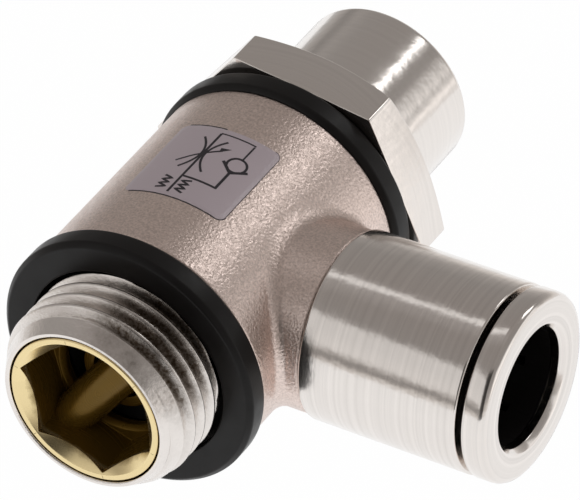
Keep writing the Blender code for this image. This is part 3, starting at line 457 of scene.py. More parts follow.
def threaded_metal(name, base, grime_and_shade, sizes, roughness):
    """Cut thread: bright crests, and rough dark grooves whose darkening is part grime and part painted shade.

    The darkening grows as the distance from the axis falls below the crests or, near the nose,
    below its cone, a noise makes it patchy, and more of it lies on the side that faced up, where it
    is painted shade.
    """
    material, tree, shader = new_material(name, base, 1.0, roughness)
    place, _ = lathe_coordinate(tree, "Z")
    flattened = add(tree, "ShaderNodeVectorMath", {1: (1.0, 1.0, 0.0)}, operation="MULTIPLY")
    tree.links.new(place, flattened.inputs[0])
    distance = add(tree, "ShaderNodeVectorMath", operation="LENGTH")
    tree.links.new(flattened.outputs[0], distance.inputs[0])
    scratches = add(tree, "ShaderNodeTexNoise", {"Scale": 2600.0, "Detail": 5.0, "Roughness": 0.7})
    tree.links.new(place, scratches.inputs["Vector"])
    patches = add(tree, "ShaderNodeTexNoise", {"Scale": 420.0, "Detail": 4.0, "Roughness": 0.6})
    tree.links.new(place, patches.inputs["Vector"])
    uneven = add(tree, "ShaderNodeMath", {1: 1.1 * MM, 2: -0.50 * MM}, operation="MULTIPLY_ADD")
    tree.links.new(patches.outputs[0], uneven.inputs[0])
    reach = add(tree, "ShaderNodeMath", operation="ADD")
    tree.links.new(distance.outputs["Value"], reach.inputs[0])
    tree.links.new(uneven.outputs[0], reach.inputs[1])
    slope = math.tan(sizes.nose_slope)
    split = add(tree, "ShaderNodeSeparateXYZ")
    tree.links.new(place, split.inputs[0])
    cone = add(tree, "ShaderNodeMath", {
        1: slope, 2: sizes.nose_radius - SCREW_LOW[2] * slope}, operation="MULTIPLY_ADD")
    tree.links.new(split.outputs["Z"], cone.inputs[0])
    envelope = add(tree, "ShaderNodeMath", {1: sizes.thread_radius}, operation="MINIMUM")
    tree.links.new(cone.outputs[0], envelope.inputs[0])
    below = add(tree, "ShaderNodeMath", operation="SUBTRACT")
    tree.links.new(envelope.outputs[0], below.inputs[0])
    tree.links.new(reach.outputs[0], below.inputs[1])
    # Painted shade with some grime: the deeper below the crests or the nose's cone, the darker the groove.
    depth = add(tree, "ShaderNodeMapRange", {
        "From Min": -0.34 * MM, "From Max": 0.50 * MM, "To Min": 0.0, "To Max": 1.0})
    tree.links.new(below.outputs[0], depth.inputs["Value"])
    # Painted shade: the grooves are darker still on the side that faced up.
    facing = add(tree, "ShaderNodeVectorMath", {1: UP_SIDE}, operation="DOT_PRODUCT")
    tree.links.new(flattened.outputs[0], facing.inputs[0])
    darkened = add(tree, "ShaderNodeMapRange", {
        "From Min": 6.4 * MM, "From Max": 9.3 * MM, "To Min": 0.14, "To Max": 0.95}, interpolation_type="SMOOTHSTEP")
    tree.links.new(facing.outputs["Value"], darkened.inputs["Value"])
    inside = add(tree, "ShaderNodeMapRange", {
        "From Min": sizes.nose_radius - 0.30 * MM, "From Max": sizes.nose_radius, "To Min": 0.0, "To Max": 1.0})
    tree.links.new(distance.outputs["Value"], inside.inputs["Value"])
    groove_grime_and_shade = add(tree, "ShaderNodeMath", operation="MULTIPLY")
    tree.links.new(depth.outputs["Result"], groove_grime_and_shade.inputs[0])
    tree.links.new(multiply(tree, inside.outputs["Result"], darkened.outputs["Result"]), groove_grime_and_shade.inputs[1])
    speckle = add(tree, "ShaderNodeMath", operation="MULTIPLY")
    tree.links.new(groove_grime_and_shade.outputs[0], speckle.inputs[0])
    tree.links.new(spread(tree, scratches.outputs[0], 1.25, 0.60), speckle.inputs[1])
    capped = add(tree, "ShaderNodeMath", {1: 1.0}, operation="MINIMUM")
    tree.links.new(speckle.outputs[0], capped.inputs[0])
    shade_towards(tree, shader, capped.outputs[0], base, grime_and_shade)
    rough = add(tree, "ShaderNodeMath", {1: 0.16, 2: roughness}, operation="MULTIPLY_ADD")
    tree.links.new(capped.outputs[0], rough.inputs[0])
    tree.links.new(rough.outputs[0], shader.inputs["Roughness"])
    bump = add(tree, "ShaderNodeBump", {"Strength": 1.0, "Distance": 0.035 * MM})
    tree.links.new(scratches.outputs[0], bump.inputs["Height"])
    tree.links.new(bump.outputs[0], shader.inputs["Normal"])
    return material


def shaded_brass(name, clean, shade_inside, face, roughness):
    """Turned brass that is clean at the rim and, as painted shade, browned and dulled with depth inside the mouth."""
    material = turned_metal(name, clean, roughness, "Z", 0.27 * MM, 0.006 * MM, 0.06)
    tree = material.node_tree
    shader = tree.nodes["Principled BSDF"]
    place = add(tree, "ShaderNodeTexCoord").outputs["Object"]
    split = add(tree, "ShaderNodeSeparateXYZ")
    tree.links.new(place, split.inputs[0])
    cloud = add(tree, "ShaderNodeTexNoise", {"Scale": 700.0, "Detail": 4.0, "Roughness": 0.6})
    tree.links.new(place, cloud.inputs["Vector"])
    uneven = add(tree, "ShaderNodeMath", {1: 0.8 * MM, 2: -0.4 * MM}, operation="MULTIPLY_ADD")
    tree.links.new(cloud.outputs[0], uneven.inputs[0])
    height = add(tree, "ShaderNodeMath", operation="ADD")
    tree.links.new(split.outputs["Z"], height.inputs[0])
    tree.links.new(uneven.outputs[0], height.inputs[1])
    # Painted shade: deeper in the mouth the brass turns towards the shade colour and becomes less metallic.
    depth = add(tree, "ShaderNodeMapRange", {
        "From Min": face + 0.55 * MM, "From Max": face + 1.25 * MM, "To Min": 0.0, "To Max": 1.0})
    tree.links.new(height.outputs[0], depth.inputs["Value"])
    shade_towards(tree, shader, depth.outputs["Result"], clean, shade_inside)
    bare = add(tree, "ShaderNodeMapRange", {"To Min": 1.0, "To Max": 0.50})
    tree.links.new(depth.outputs["Result"], bare.inputs["Value"])
    tree.links.new(bare.outputs["Result"], shader.inputs["Metallic"])
    shader.inputs["Specular IOR Level"].default_value = 0.12
    return material


def blasted_metal(name, base, roughness):
    """Nickel over a bead-blasted casting: small dimples and sparkling grains."""
    material, tree, shader = new_material(name, base, 1.0, roughness)
    place = add(tree, "ShaderNodeTexCoord").outputs["Object"]
    grain = add(tree, "ShaderNodeTexNoise", {"Scale": 4600.0, "Detail": 2.0, "Roughness": 0.55})
    tree.links.new(place, grain.inputs["Vector"])
    pits = add(tree, "ShaderNodeTexVoronoi", {"Scale": 3600.0}, feature="SMOOTH_F1")
    tree.links.new(place, pits.inputs["Vector"])
    total = add(tree, "ShaderNodeMath", operation="ADD")
    tree.links.new(grain.outputs[0], total.inputs[0])
    tree.links.new(pits.outputs["Distance"], total.inputs[1])
    bump = add(tree, "ShaderNodeBump", {"Strength": 1.0, "Distance": 0.036 * MM})
    tree.links.new(total.outputs[0], bump.inputs["Height"])
    tree.links.new(bump.outputs[0], shader.inputs["Normal"])
    cloud = add(tree, "ShaderNodeTexNoise", {"Scale": 1500.0, "Detail": 3.0})
    tree.links.new(place, cloud.inputs["Vector"])
    tree.links.new(spread(tree, cloud.outputs[0], roughness - 0.05, roughness + 0.07), shader.inputs["Roughness"])
    dark, light = tuple(c * 0.80 for c in base), tuple(min(1.0, c * 1.15) for c in base)
    shade_towards(tree, shader, spread(tree, grain.outputs[0], 0.0, 1.0), dark, light)
    return material


def moulded_plastic(name, base, roughness, gloss=0.5):
    """Satin plastic with a very fine skin."""
    material, tree, shader = new_material(name, base, 0.0, roughness)
    shader.inputs["Specular IOR Level"].default_value = gloss
    place = add(tree, "ShaderNodeTexCoord").outputs["Object"]
    skin = add(tree, "ShaderNodeTexNoise", {"Scale": 5200.0, "Detail": 3.0})
    tree.links.new(place, skin.inputs["Vector"])
    bump = add(tree, "ShaderNodeBump", {"Strength": 1.0, "Distance": 0.004 * MM})
    tree.links.new(skin.outputs[0], bump.inputs["Height"])
    tree.links.new(bump.outputs[0], shader.inputs["Normal"])
    cloud = add(tree, "ShaderNodeTexNoise", {"Scale": 420.0, "Detail": 4.0})
    tree.links.new(place, cloud.inputs["Vector"])
    tree.links.new(spread(tree, cloud.outputs[0], roughness - 0.06, roughness + 0.08), shader.inputs["Roughness"])
    return material


def finish_named(name):
    """Return one of the valve's finishes, made the first time it is asked for."""
    known = bpy.data.materials.get(name)
    if known:
        return known
    look = bpy.context.scene.valve_finish
    nickel, blasted = tuple(look.nickel), tuple(look.blasted)
    if name == "nickel_screw":
        return turned_metal(name, nickel, look.nickel_rough, "Z", wave=0.022 * MM)
    if name == "nickel_thread":
        return threaded_metal(name, nickel, tuple(look.grime_and_shade), bpy.context.scene.valve_screw, 0.17)
    if name == "nickel_branch":
        return turned_metal(name, nickel, look.nickel_rough, "X", 0.11 * MM, 0.0028 * MM, 0.05, 0.12, 0.028 * MM)
    if name == "nickel_blasted":
        return blasted_metal(name, blasted, look.blasted_rough)
    if name == "brass_turned":
        return turned_metal(name, tuple(look.brass), 0.16, "Z", 0.12 * MM, 0.0015 * MM, 0.06)
    # The insert's brass, with painted shade deeper in its mouth.
    if name == "brass_painted_shade":
        face = bpy.context.scene.valve_insert.face
        return shaded_brass(name, tuple(look.brass), tuple(look.shade_inside), face, 0.26)
    if name == "plastic_black":
        return moulded_plastic(name, tuple(look.plastic), 0.36, 0.22)
    if name == "rubber_black":
        return moulded_plastic(name, (0.014, 0.014, 0.015), 0.58)
    if name == "plastic_white":
        return moulded_plastic(name, (0.70, 0.69, 0.66), 0.42)
    raise ValueError(f"no finish is named {name}")


# The pieces


def thread_radius_at(height, turn, sizes):
    """Radius of the rounded 55 degree thread at a height and an angle.

    With x the distance from the nearest crest along the axis, the radius follows a crest arc,
    a straight flank and a root arc. The nose is cut by a cone from its own radius upwards and
    the run-out by a 30 degree cone.
    """
    pitch, top = sizes.pitch, sizes.thread_radius
    depth, arc = 0.640327 * pitch, 0.137329 * pitch
    flank = math.radians(27.5)
    phase = (height - (turn - sizes.thread_turn) * pitch / math.tau) / pitch
    x = np.abs(phase - np.round(phase)) * pitch
    edge = arc * math.cos(flank)
    crest = top - arc + np.sqrt(np.maximum(arc ** 2 - x ** 2, 0.0))
    y = pitch / 2 - x
    root = top - depth + arc - np.sqrt(np.maximum(arc ** 2 - y ** 2, 0.0))
    line = top - depth / 2 - (x - pitch / 4) / math.tan(flank)
    radius = np.where(x < edge, crest, np.where(y < edge, root, line))
    start = sizes.nose_radius + (height - SCREW_LOW[2]) * math.tan(sizes.nose_slope)
    stop = top - (height - sizes.run_out) / math.tan(math.radians(30.0))
    return np.minimum(radius, np.minimum(start, stop))


def make_threaded_end(sizes):
    """The thread's helix, its relief and the bore for the insert, as one closed surface."""
    angles = np.linspace(0.0, math.tau, 361)
    low, high = SCREW_LOW[2], sizes.run_out + 0.640327 * sizes.pitch * math.tan(math.radians(30.0))
    per_pitch = 26
    step = sizes.pitch / per_pitch
    first = low - sizes.pitch
    lift = np.arange(first, high + step, step)[:, None]
    climb = (angles * sizes.pitch / math.tau)[None, :]
    height = np.clip(lift + climb, low, high)
    radius = thread_radius_at(height, angles[None, :], sizes)
    thread = np.stack([radius, height], axis=-1)
    root = sizes.thread_radius - 0.640327 * sizes.pitch
    split = 5.0 * MM
    relief = eased([
        (root, high), (root, 3.0 * MM), (sizes.shoulder_radius, 3.0 * MM),
        (sizes.shoulder_radius, split)], 0.1 * MM, closed=False)
    inner = eased([
        (sizes.check_radius, split), (sizes.check_radius, sizes.insert_seat),
        (sizes.bore_radius, sizes.insert_seat), (sizes.bore_radius, low + 0.12 * MM),
        (sizes.bore_radius + 0.12 * MM, low)], 0.05 * MM, closed=False)
    parts = [np.broadcast_to(part, (len(part), len(angles), 2)) for part in (thread, relief, inner)]
    grid = turned(np.concatenate(parts), angles)
    return mesh_object("screw_thread", [(grid, True, False)], sharp=50.0)


def hexagon_angles(turn):
    """Columns round the screw, close together at the hexagon's six corners."""
    side = np.concatenate([[0.0, 0.45, 1.2], np.arange(3.0, 58.0, 2.0), [58.8, 59.55]])
    return turn + np.radians((np.arange(6)[:, None] * 60.0 + side[None, :]).ravel())


def make_screw_head(sizes):
    """Waist, lands, hexagon and collar in one surface.

    On the hexagon the radius at an angle a from a flat's middle is half the width over cos a,
    and a 30 degree cone cuts its top, so the edge falls by the slope times the overhang.
    """
    angles = hexagon_angles(sizes.hex_turn)
    from_middle = (angles - sizes.hex_turn) % (math.pi / 3) - math.pi / 6
    side = sizes.hex_flats / 2 / np.cos(from_middle)
    side = np.minimum(side, sizes.hex_flats / 2 / math.cos(math.pi / 6) - 0.035 * MM)
    cone_top = sizes.hex_flats / 2 - 0.2 * MM
    edge_height = sizes.hex_top - (side - cone_top) * math.tan(sizes.chamfer)
    same = np.ones_like(angles)

    def ring(radius, height):
        return np.stack([radius * same, height * same], axis=-1)

    split, waist, shoulder = 5.0 * MM, 8.0 * MM, sizes.shoulder_radius
    collar, top = sizes.collar_radius, SCREW_HIGH[2]
    lower = [
        ring(sizes.check_radius, split), ring(shoulder, split), ring(shoulder, 8.5 * MM),
        ring(waist, 9.3 * MM), ring(waist, 21.7 * MM), ring(shoulder, 22.5 * MM),
        ring(shoulder, sizes.hex_bottom), ring(sizes.hex_flats / 2 - 0.6 * MM, sizes.hex_bottom)]
    hexagon = [
        ring(side, sizes.hex_bottom), ring(side, edge_height), ring(cone_top, sizes.hex_top),
        ring(collar, sizes.hex_top)]
    upper = [
        ring(collar, top), ring(6.3 * MM, top), ring(6.3 * MM, RETAINER_LOW[2] - 0.3 * MM),
        ring(5.0 * MM, RETAINER_LOW[2] - 0.3 * MM), ring(5.0 * MM, 29.0 * MM), ring(4.4 * MM, 29.0 * MM),
        ring(4.4 * MM, 21.0 * MM), ring(6.0 * MM, 20.2 * MM), ring(6.0 * MM, 7.3 * MM),
        ring(sizes.check_radius, 7.3 * MM)]
    corners = np.stack(lower + hexagon + upper)
    cuts = np.full(len(corners), 0.06 * MM)
    cuts[len(lower):len(lower) + 3] = (0.12 * MM, 0.14 * MM, 0.10 * MM)
    cuts[len(lower) + 3] = 0.35 * MM
    cuts[len(lower) + len(hexagon)] = sizes.collar_edge
    cuts[len(lower) + len(hexagon) + 1] = 0.25 * MM
    head = mesh_object("screw_head", [(turned(eased(corners, cuts), angles), True, True)], sharp=33.0)
    return carve(head, cross_drills(), sharp=33.0)


def cross_drills():
    """Six rods that stand round the axis at the branch's height, as one cutter."""
    around = full_turn(40)
    profile = np.array([(0.0, 5.3), (2.6, 5.3), (2.6, 9.2), (0.0, 9.2)]) * MM
    rows = np.broadcast_to(profile[:, None, :], (4, 40, 2))
    rod = np.stack([
        rows[..., 1], rows[..., 0] * np.cos(around), BRANCH_HEIGHT + rows[..., 0] * np.sin(around)], axis=-1)
    sheets = []
    for turn in full_turn(6):
        spin = np.array(Matrix.Rotation(turn, 3, "Z"))
        sheets.append((rod @ spin.T, False, True))
    return mesh_object("cross_drills", sheets)


def make_washer(name, low, high, gap_below, gap_above, lip):
    """A turned washer with bevelled rims, grown by the face gaps so that it seats."""
    outer, bottom, top = high[0], low[2] - gap_below, high[2] + gap_above
    bevel = 0.5 * MM
    bore = 10.9 * MM
    if lip:
        corners = [
            (bore, bottom), (outer - bevel, bottom), (outer, bottom + bevel), (outer, top - bevel),
            (outer - bevel, top), (9.62 * MM, top), (9.62 * MM, top - 1.2 * MM), (bore, bottom + 0.9 * MM)]
    else:
        corners = [
            (10.64 * MM, bottom), (outer - bevel, bottom), (outer, bottom + bevel), (outer, top - bevel),
            (outer - bevel, top), (10.64 * MM, top)]
    rows = eased(np.array(corners), 0.16 * MM)
    return mesh_object(name, [(turned(rows, full_turn()), True, True)], sharp=35.0)


def mouth_angles(turn, rounded):
    """Columns round the insert: exact at both ends of the six rounded corners and of the flats."""
    side = np.concatenate([
        np.linspace(-rounded, rounded, 9)[:-1], np.linspace(rounded, math.pi / 3 - rounded, 31)[:-1]])
    return turn + (np.arange(6)[:, None] * math.pi / 3 + side[None, :]).ravel()


def make_insert(sizes):
    """The brass insert's plug: countersunk hexagonal mouth, ledge and passage.

    The mouth's wall lies at half the hexagon's width over the cosine of the angle from a
    flat's middle, or at the rounded corners' radius where that is less, and the
    countersink's cone ends where it meets that wall.
    """
    head, face, top = sizes.radius, sizes.face, sizes.top
    flat, corner, mouth = head - sizes.flat_wall, head - sizes.corner_wall, head - sizes.rim
    angles = mouth_angles(sizes.mouth_turn, math.pi / 6 - math.acos(flat / corner))
    from_middle = (angles - sizes.mouth_turn) % (math.pi / 3) - math.pi / 6
    wall = np.minimum(flat / np.cos(from_middle), corner)
    meet = face + (mouth - wall) * sizes.countersink
    floor = top - sizes.ledge
    passage, chamfer = flat - sizes.ledge_width, sizes.ledge_chamfer
    same = np.ones_like(angles)

    def ring(radius, height):
        return np.stack([radius * same, height * same], axis=-1)

    corners = np.stack([
        ring(head, face), ring(head, top), ring(passage, top), ring(passage, floor + chamfer),
        ring(passage + chamfer, floor), ring(wall, floor), ring(wall, meet), ring(mouth, face)])
    cuts = np.array([0.20, 0.1, 0.1, 0.06, 0.05, 0.08, 0.05, 0.10]) * MM
    shell = (turned(eased(corners, cuts), angles), True, True)
    return mesh_object("insert_shell", [shell], sharp=33.0)


def make_bar(sizes):
    """The bar across the mouth and the nozzle that stands on it.

    The bar's front is half an ellipse, (-w cos a, crest + crown (1 - sin a)), and its sides
    run straight to the insert's inner end. The nozzle is a turned tube.
    """
    half, top = sizes.bar_width / 2, sizes.top
    crest = sizes.face + sizes.bar_depth
    bow = np.linspace(0.0, math.pi, 25)
    side = np.concatenate([-half * np.cos(bow), [half, -half]])
    height = np.concatenate([crest + sizes.bar_crown * (1 - np.sin(bow)), [top, top]])
    reach = sizes.radius - sizes.corner_wall / 2
    size = np.array([0.0, 1.0, 1.0, 0.0])[:, None]
    x = np.array([-reach, -reach, reach, reach])[:, None] + 0 * side
    y, z = size * side, crest + size * (height - crest)
    cosine, sine = math.cos(sizes.bar_turn), math.sin(sizes.bar_turn)
    bar = np.stack([x * cosine - y * sine, x * sine + y * cosine, z], axis=-1)
    outer, bore, foot = sizes.nozzle_radius, sizes.nozzle_bore, top - 0.5 * MM
    groove = outer - 0.6 * MM
    nozzle = np.array([
        (bore, foot), (outer, foot), (outer, 1.5 * MM), (groove, 1.5 * MM), (groove, 4.7 * MM),
        (outer, 4.7 * MM), (outer, 6.5 * MM), (bore, 6.5 * MM)])
    tube = turned(eased(nozzle, 0.06 * MM), full_turn(96))
    return mesh_object("insert_bar", [(bar, False, True), (tube, True, True)], sharp=40.0)


def make_needle():
    """The adjusting needle's head, stem and tip, with the driver slot cut in."""
    low, top = NEEDLE_LOW[2], NEEDLE_HIGH[2]
    head = NEEDLE_HIGH[0]
    corners = np.array([
        (0.0, low / MM), (1.496, low / MM), (2.496, 6.5), (2.496, 6.8), (3.896, 6.8), (3.896, 8.3), (3.0, 9.196),
        (3.0, 19.5), (4.1, 20.6), (4.1, 21.7), (2.7, 21.7), (2.7, 23.4), (4.1, 23.4), (4.1, 24.5), (3.0, 25.6),
        (3.0, 29.3), (head / MM, 31.0), (head / MM, top / MM - 0.3), (head / MM - 0.3, top / MM),
        (0.0, top / MM)]) * MM
    needle = mesh_object(
        "needle_finished", [(turned(eased(corners, 0.05 * MM, closed=False), full_turn(96)), False, True)])
    wide = np.array([(-6.0, -0.7), (6.0, -0.7), (6.0, 0.7), (-6.0, 0.7)]) * MM
    deep = np.array([top - 1.8 * MM, top + 1.0 * MM])
    loop = np.stack([
        np.broadcast_to(wide[:, 0], (2, 4)), np.broadcast_to(wide[:, 1], (2, 4)),
        np.broadcast_to(deep[:, None], (2, 4))], -1)
    centre = loop.mean(axis=1, keepdims=True) + np.zeros_like(loop)
    cutter = np.concatenate([centre[:1], loop, centre[1:]])
    return carve(needle, mesh_object("slot_cutter", [(cutter, False, True)]))


def make_retainer():
    """The retaining ring in the collar's pocket."""
    corners = np.array([
        (4.0 * MM, RETAINER_LOW[2]), (RETAINER_HIGH[0], RETAINER_LOW[2]), (RETAINER_HIGH[0], RETAINER_HIGH[2]),
        (4.0 * MM, RETAINER_HIGH[2])])
    return mesh_object("retainer_finished", [(turned(eased(corners, 0.3 * MM), full_turn()), True, True)], sharp=50.0)


def neck_angles(half_width, half_height):
    """Angles round the branch whose rays meet the window's border, its four corners included."""
    corner = math.atan2(half_height, half_width)
    quarter = np.concatenate([
        np.linspace(0.0, corner, 25)[:-1], np.linspace(corner, math.pi / 2, 31)[:-1]])
    half = np.concatenate([quarter, [math.pi / 2], (math.pi - quarter)[:0:-1]])
    return np.concatenate([half, half + math.pi])


def border(angles, half_width, half_height):
    """Where rays at these angles leave a rectangle round the origin."""
    cosine, sine = np.cos(angles), np.sin(angles)
    with np.errstate(divide="ignore"):
        scale = np.minimum(half_width / np.abs(cosine), half_height / np.abs(sine))
    return scale * cosine, scale * sine


def holed_wall(radius, hole, angles, half_window, low, high, rows, back):
    """A cylinder's wall round Z with a round hole that faces +X.

    In the unrolled wall the grid runs straight from the hole's edge, whose sideways offset is
    hole cos a, to the window's border. Behind the window it is a plain grid.
    """
    middle, half_height = (low + high) / 2, (high - low) / 2
    out_side, out_up = window_border(angles, half_window, half_height)
    in_side = np.arcsin(hole * np.cos(angles) / radius)
    in_up = BRANCH_HEIGHT - middle + hole * np.sin(angles)
    t = (np.linspace(0.0, 1.0, rows) ** 1.25)[:, None]
    side, up = (1 - t) * in_side + t * out_side, (1 - t) * in_up + t * out_up
    window = np.stack([radius * np.cos(side), radius * np.sin(side), middle + up], axis=-1)
    heights = np.sort(out_up[out_side > half_window * 0.999999])[:, None]
    rest = np.stack([
        radius * np.cos(back) + 0 * heights, radius * np.sin(back) + 0 * heights, middle + heights + 0 * back],
        axis=-1)
    return [(window, False, True), (rest, False, False)]


def window_border(angles, half_window, half_height):
    """Where rays leave the window: the angle round the barrel and the height, corners exact.

    The rays are cut by a rectangle whose sides are in the proportion that the angles were
    made for, so the same columns serve the outer and the inner wall.
    """
    corner = angles[24]
    cosine, sine = np.cos(angles), np.sin(angles)
    wide, tall = math.cos(corner), math.sin(corner)
    with np.errstate(divide="ignore"):
        scale = np.minimum(wide / np.maximum(np.abs(cosine), 1e-12), tall / np.maximum(np.abs(sine), 1e-12))
    return scale * cosine / wide * half_window, scale * sine / tall * half_height


def make_body(sizes):
    """Barrel, neck, gallery and socket of the banjo body as one welded surface.

    A ring of the neck's root follows the barrel: with y the sideways offset, its reach is
    sqrt(R^2 - y^2) plus fillet (1 - cos a), at the radius neck + fillet (1 - sin a).
    """
    outer, edge = sizes.barrel_radius, sizes.edge
    low, high, reach = BODY_LOW[2], BODY_HIGH[2], BODY_HIGH[0]
    gallery, gallery_low, gallery_high = sizes.gallery_radius, 9.3 * MM, 21.7 * MM
    angles = neck_angles(outer * sizes.window, (high - low) / 2 - edge)
    back = np.linspace(sizes.window, math.tau - sizes.window, 145)
    root = sizes.neck_radius + sizes.fillet
    sheets = holed_wall(outer, root, angles, sizes.window, low + edge, high - edge, 18, back)
    sheets += holed_wall(
        gallery, sizes.passage_radius, angles, sizes.window, gallery_low, gallery_high, 10, back)
    side, up = window_border(angles, sizes.window, 1.0)
    columns = np.concatenate([np.sort(side[up > 0.999999])[:-1], back[:-1]])
    for end, inward, gallery_edge in ((low, 1.0, gallery_low), (high, -1.0, gallery_high)):
        corner = eased(np.array([
            (outer, end + inward * edge), (outer, end), (outer - edge, end)]), edge, closed=False)
        corner = corner[EASE_STEPS - 1:-EASE_STEPS + 1]
        inner = eased(np.array([
            (outer - edge, end), (sizes.bore_radius, end), (sizes.bore_radius, end + inward * 5.5 * MM),
            (gallery, gallery_edge)]), 0.2 * MM, closed=False)
        sheets.append((turned(np.concatenate([corner, inner]), columns), False, True))
    bend = np.linspace(0.0, math.pi / 2, 10)[:, None]
    radius = sizes.neck_radius + sizes.fillet * (1 - np.sin(bend))
    sideways = radius * np.cos(angles)
    lift = np.sqrt(outer ** 2 - sideways ** 2) + sizes.fillet * (1 - np.cos(bend))
    flare = np.stack([lift, sideways, BRANCH_HEIGHT + radius * np.sin(angles)], axis=-1)
    floor = reach - sizes.socket_depth
    mouth = turned(eased(np.array([
        (sizes.neck_radius, reach), (sizes.socket_radius, reach), (sizes.socket_radius, floor),
        (sizes.passage_radius, floor)]), 0.15 * MM, closed=False), angles, "X")
    passage_side = sizes.passage_radius * np.cos(angles)
    last = np.stack([
        np.sqrt(gallery ** 2 - passage_side ** 2), passage_side,
        BRANCH_HEIGHT + sizes.passage_radius * np.sin(angles)], axis=-1)[None]
    rim = turned(np.array([[(sizes.neck_radius, reach - 0.25 * MM)]]), angles, "X")
    mouth[0] = turned(np.array([[(sizes.neck_radius - 0.2 * MM, reach)]]), angles, "X")[0]
    sheets.append((np.concatenate([flare, rim, mouth, last]), False, True))
    return mesh_object("body_finished", sheets, sharp=35.0)


def make_sleeve(sizes):
    """The push-in socket's turned sleeve, its spigot and its inner chambers."""
    start, end = sizes.sleeve_start, SLEEVE_HIGH[0]
    outer, spigot, first = SLEEVE_HIGH[1], 7.9 * MM, SLEEVE_LOW[0]
    bore = sizes.tube_radius
    corners = np.array([
        (4.9 * MM, first), (spigot, first), (spigot, first + 1.0 * MM), (spigot - 1.1 * MM, first + 1.0 * MM),
        (spigot - 1.1 * MM, first + 2.4 * MM), (spigot, first + 2.4 * MM), (spigot, start), (outer, start),
        (outer, end), (7.5 * MM, end), (7.5 * MM, end - 1.4 * MM), (8.2 * MM, end - 2.8 * MM),
        (8.2 * MM, start + 5.4 * MM), (bore, start + 5.4 * MM), (bore, start + 1.4 * MM), (4.9 * MM, start + 1.4 * MM)])
    cuts = np.full(len(corners), 0.08 * MM)
    cuts[7] = cuts[8] = sizes.edge
    return mesh_object("sleeve_finished", [(turned(eased(corners, cuts), full_turn(), "X"), True, True)], sharp=40.0)


def make_release_ring(sizes):
    """The release ring, with its rounded outer edge and the chamfer round the hole."""
    start, end = RING_LOW[0] - 0.12 * MM, RING_HIGH[0]
    outer, bore = RING_HIGH[1], sizes.tube_radius
    corners = np.array([
        (7.5 * MM, start), (outer, start), (outer, end), (bore + sizes.lead_in, end), (bore, end - sizes.lead_in),
        (bore, start + 1.1 * MM), (7.5 * MM, start + 1.1 * MM)])
    cuts = np.array([0.08, 0.25, 0.0, 0.30, 0.08, 0.05, 0.05]) * MM
    cuts[2] = sizes.ring_round
    return mesh_object("ring_finished", [(turned(eased(corners, cuts), full_turn(), "X"), True, True)], sharp=40.0)


def on_barrel(side, height, lift):
    """Carry flat label points onto the barrel: the angle is the side over the radius, from -Y."""
    radius = -BODY_LOW[0]
    turn = side / radius - math.pi / 2
    return np.stack([(radius + lift) * np.cos(turn), (radius + lift) * np.sin(turn), height + 0 * side], axis=-1)


def make_label(sizes):
    """The label's plate: rings of one rounded rectangle, shrunk towards its middle."""
    middle = np.array([(sizes.left + sizes.right) / 2, (sizes.bottom + sizes.top) / 2])
    half = np.array([(sizes.right - sizes.left) / 2, (sizes.top - sizes.bottom) / 2])
    turn = full_turn(32)
    quarter = np.floor(turn / (math.pi / 2) + 1e-9)
    signs = np.stack([np.where((quarter == 0) | (quarter == 3), 1.0, -1.0), np.where(quarter < 2, 1.0, -1.0)], -1)
    arc = sizes.corner * np.stack([np.cos(turn), np.sin(turn)], -1) + signs * (half - sizes.corner)
    following = np.roll(arc, -1, axis=0)
    t = np.linspace(0.0, 1.0, 9)[:-1][None, :, None]
    outline = (arc[:, None] * (1 - t) + following[:, None] * t).reshape(-1, 2)
    scale = np.array([1.0, 1.0, 0.993, 0.9, 0.75, 0.6, 0.45, 0.3, 0.15, 0.0])[:, None]
    lift = np.array([-0.05, 0.5, 1.0, 1.0, 1.0, 1.0, 1.0, 1.0, 1.0, 1.0])[:, None] * sizes.thickness
    top = on_barrel(middle[0] + scale * outline[:, 0], middle[1] + scale * outline[:, 1], lift)
    under = np.array([0.0, 0.3, 0.6, 0.9])[:, None]
    base = on_barrel(middle[0] + under * outline[:, 0], middle[1] + under * outline[:, 1], -0.05 * sizes.thickness)
    return mesh_object("label_plate", [(np.concatenate([base, top]), False, True)], sharp=60.0)


def stroke(points, width, lift, thick):
    """A flat line on the label: a thin band of the width that follows the points."""
    points = np.asarray(points, float) * MM
    ahead = np.gradient(points, axis=0)
    ahead /= np.linalg.norm(ahead, axis=1, keepdims=True) + 1e-12
    normal = np.stack([-ahead[:, 1], ahead[:, 0]], -1) * width / 2
    left, right = points + normal, points - normal
    loop = np.stack([left, right, right, left], axis=1)
    heights = np.array([lift - thick, lift - thick, lift, lift])[None, :]
    ring = on_barrel(loop[..., 0], loop[..., 1], heights)
    ends = ring.mean(axis=1, keepdims=True) + 0 * ring
    return np.concatenate([ends[:1], ring, ends[-1:]]), False, True


def fine_line(corners, count=8):
    """Points along a broken line, count to each side."""
    corners = np.asarray(corners, float)
    t = np.arange(count)[None, :, None] / count
    run = corners[:-1, None] * (1 - t) + corners[1:, None] * t
    return np.concatenate([run.reshape(-1, 2), corners[-1:]])


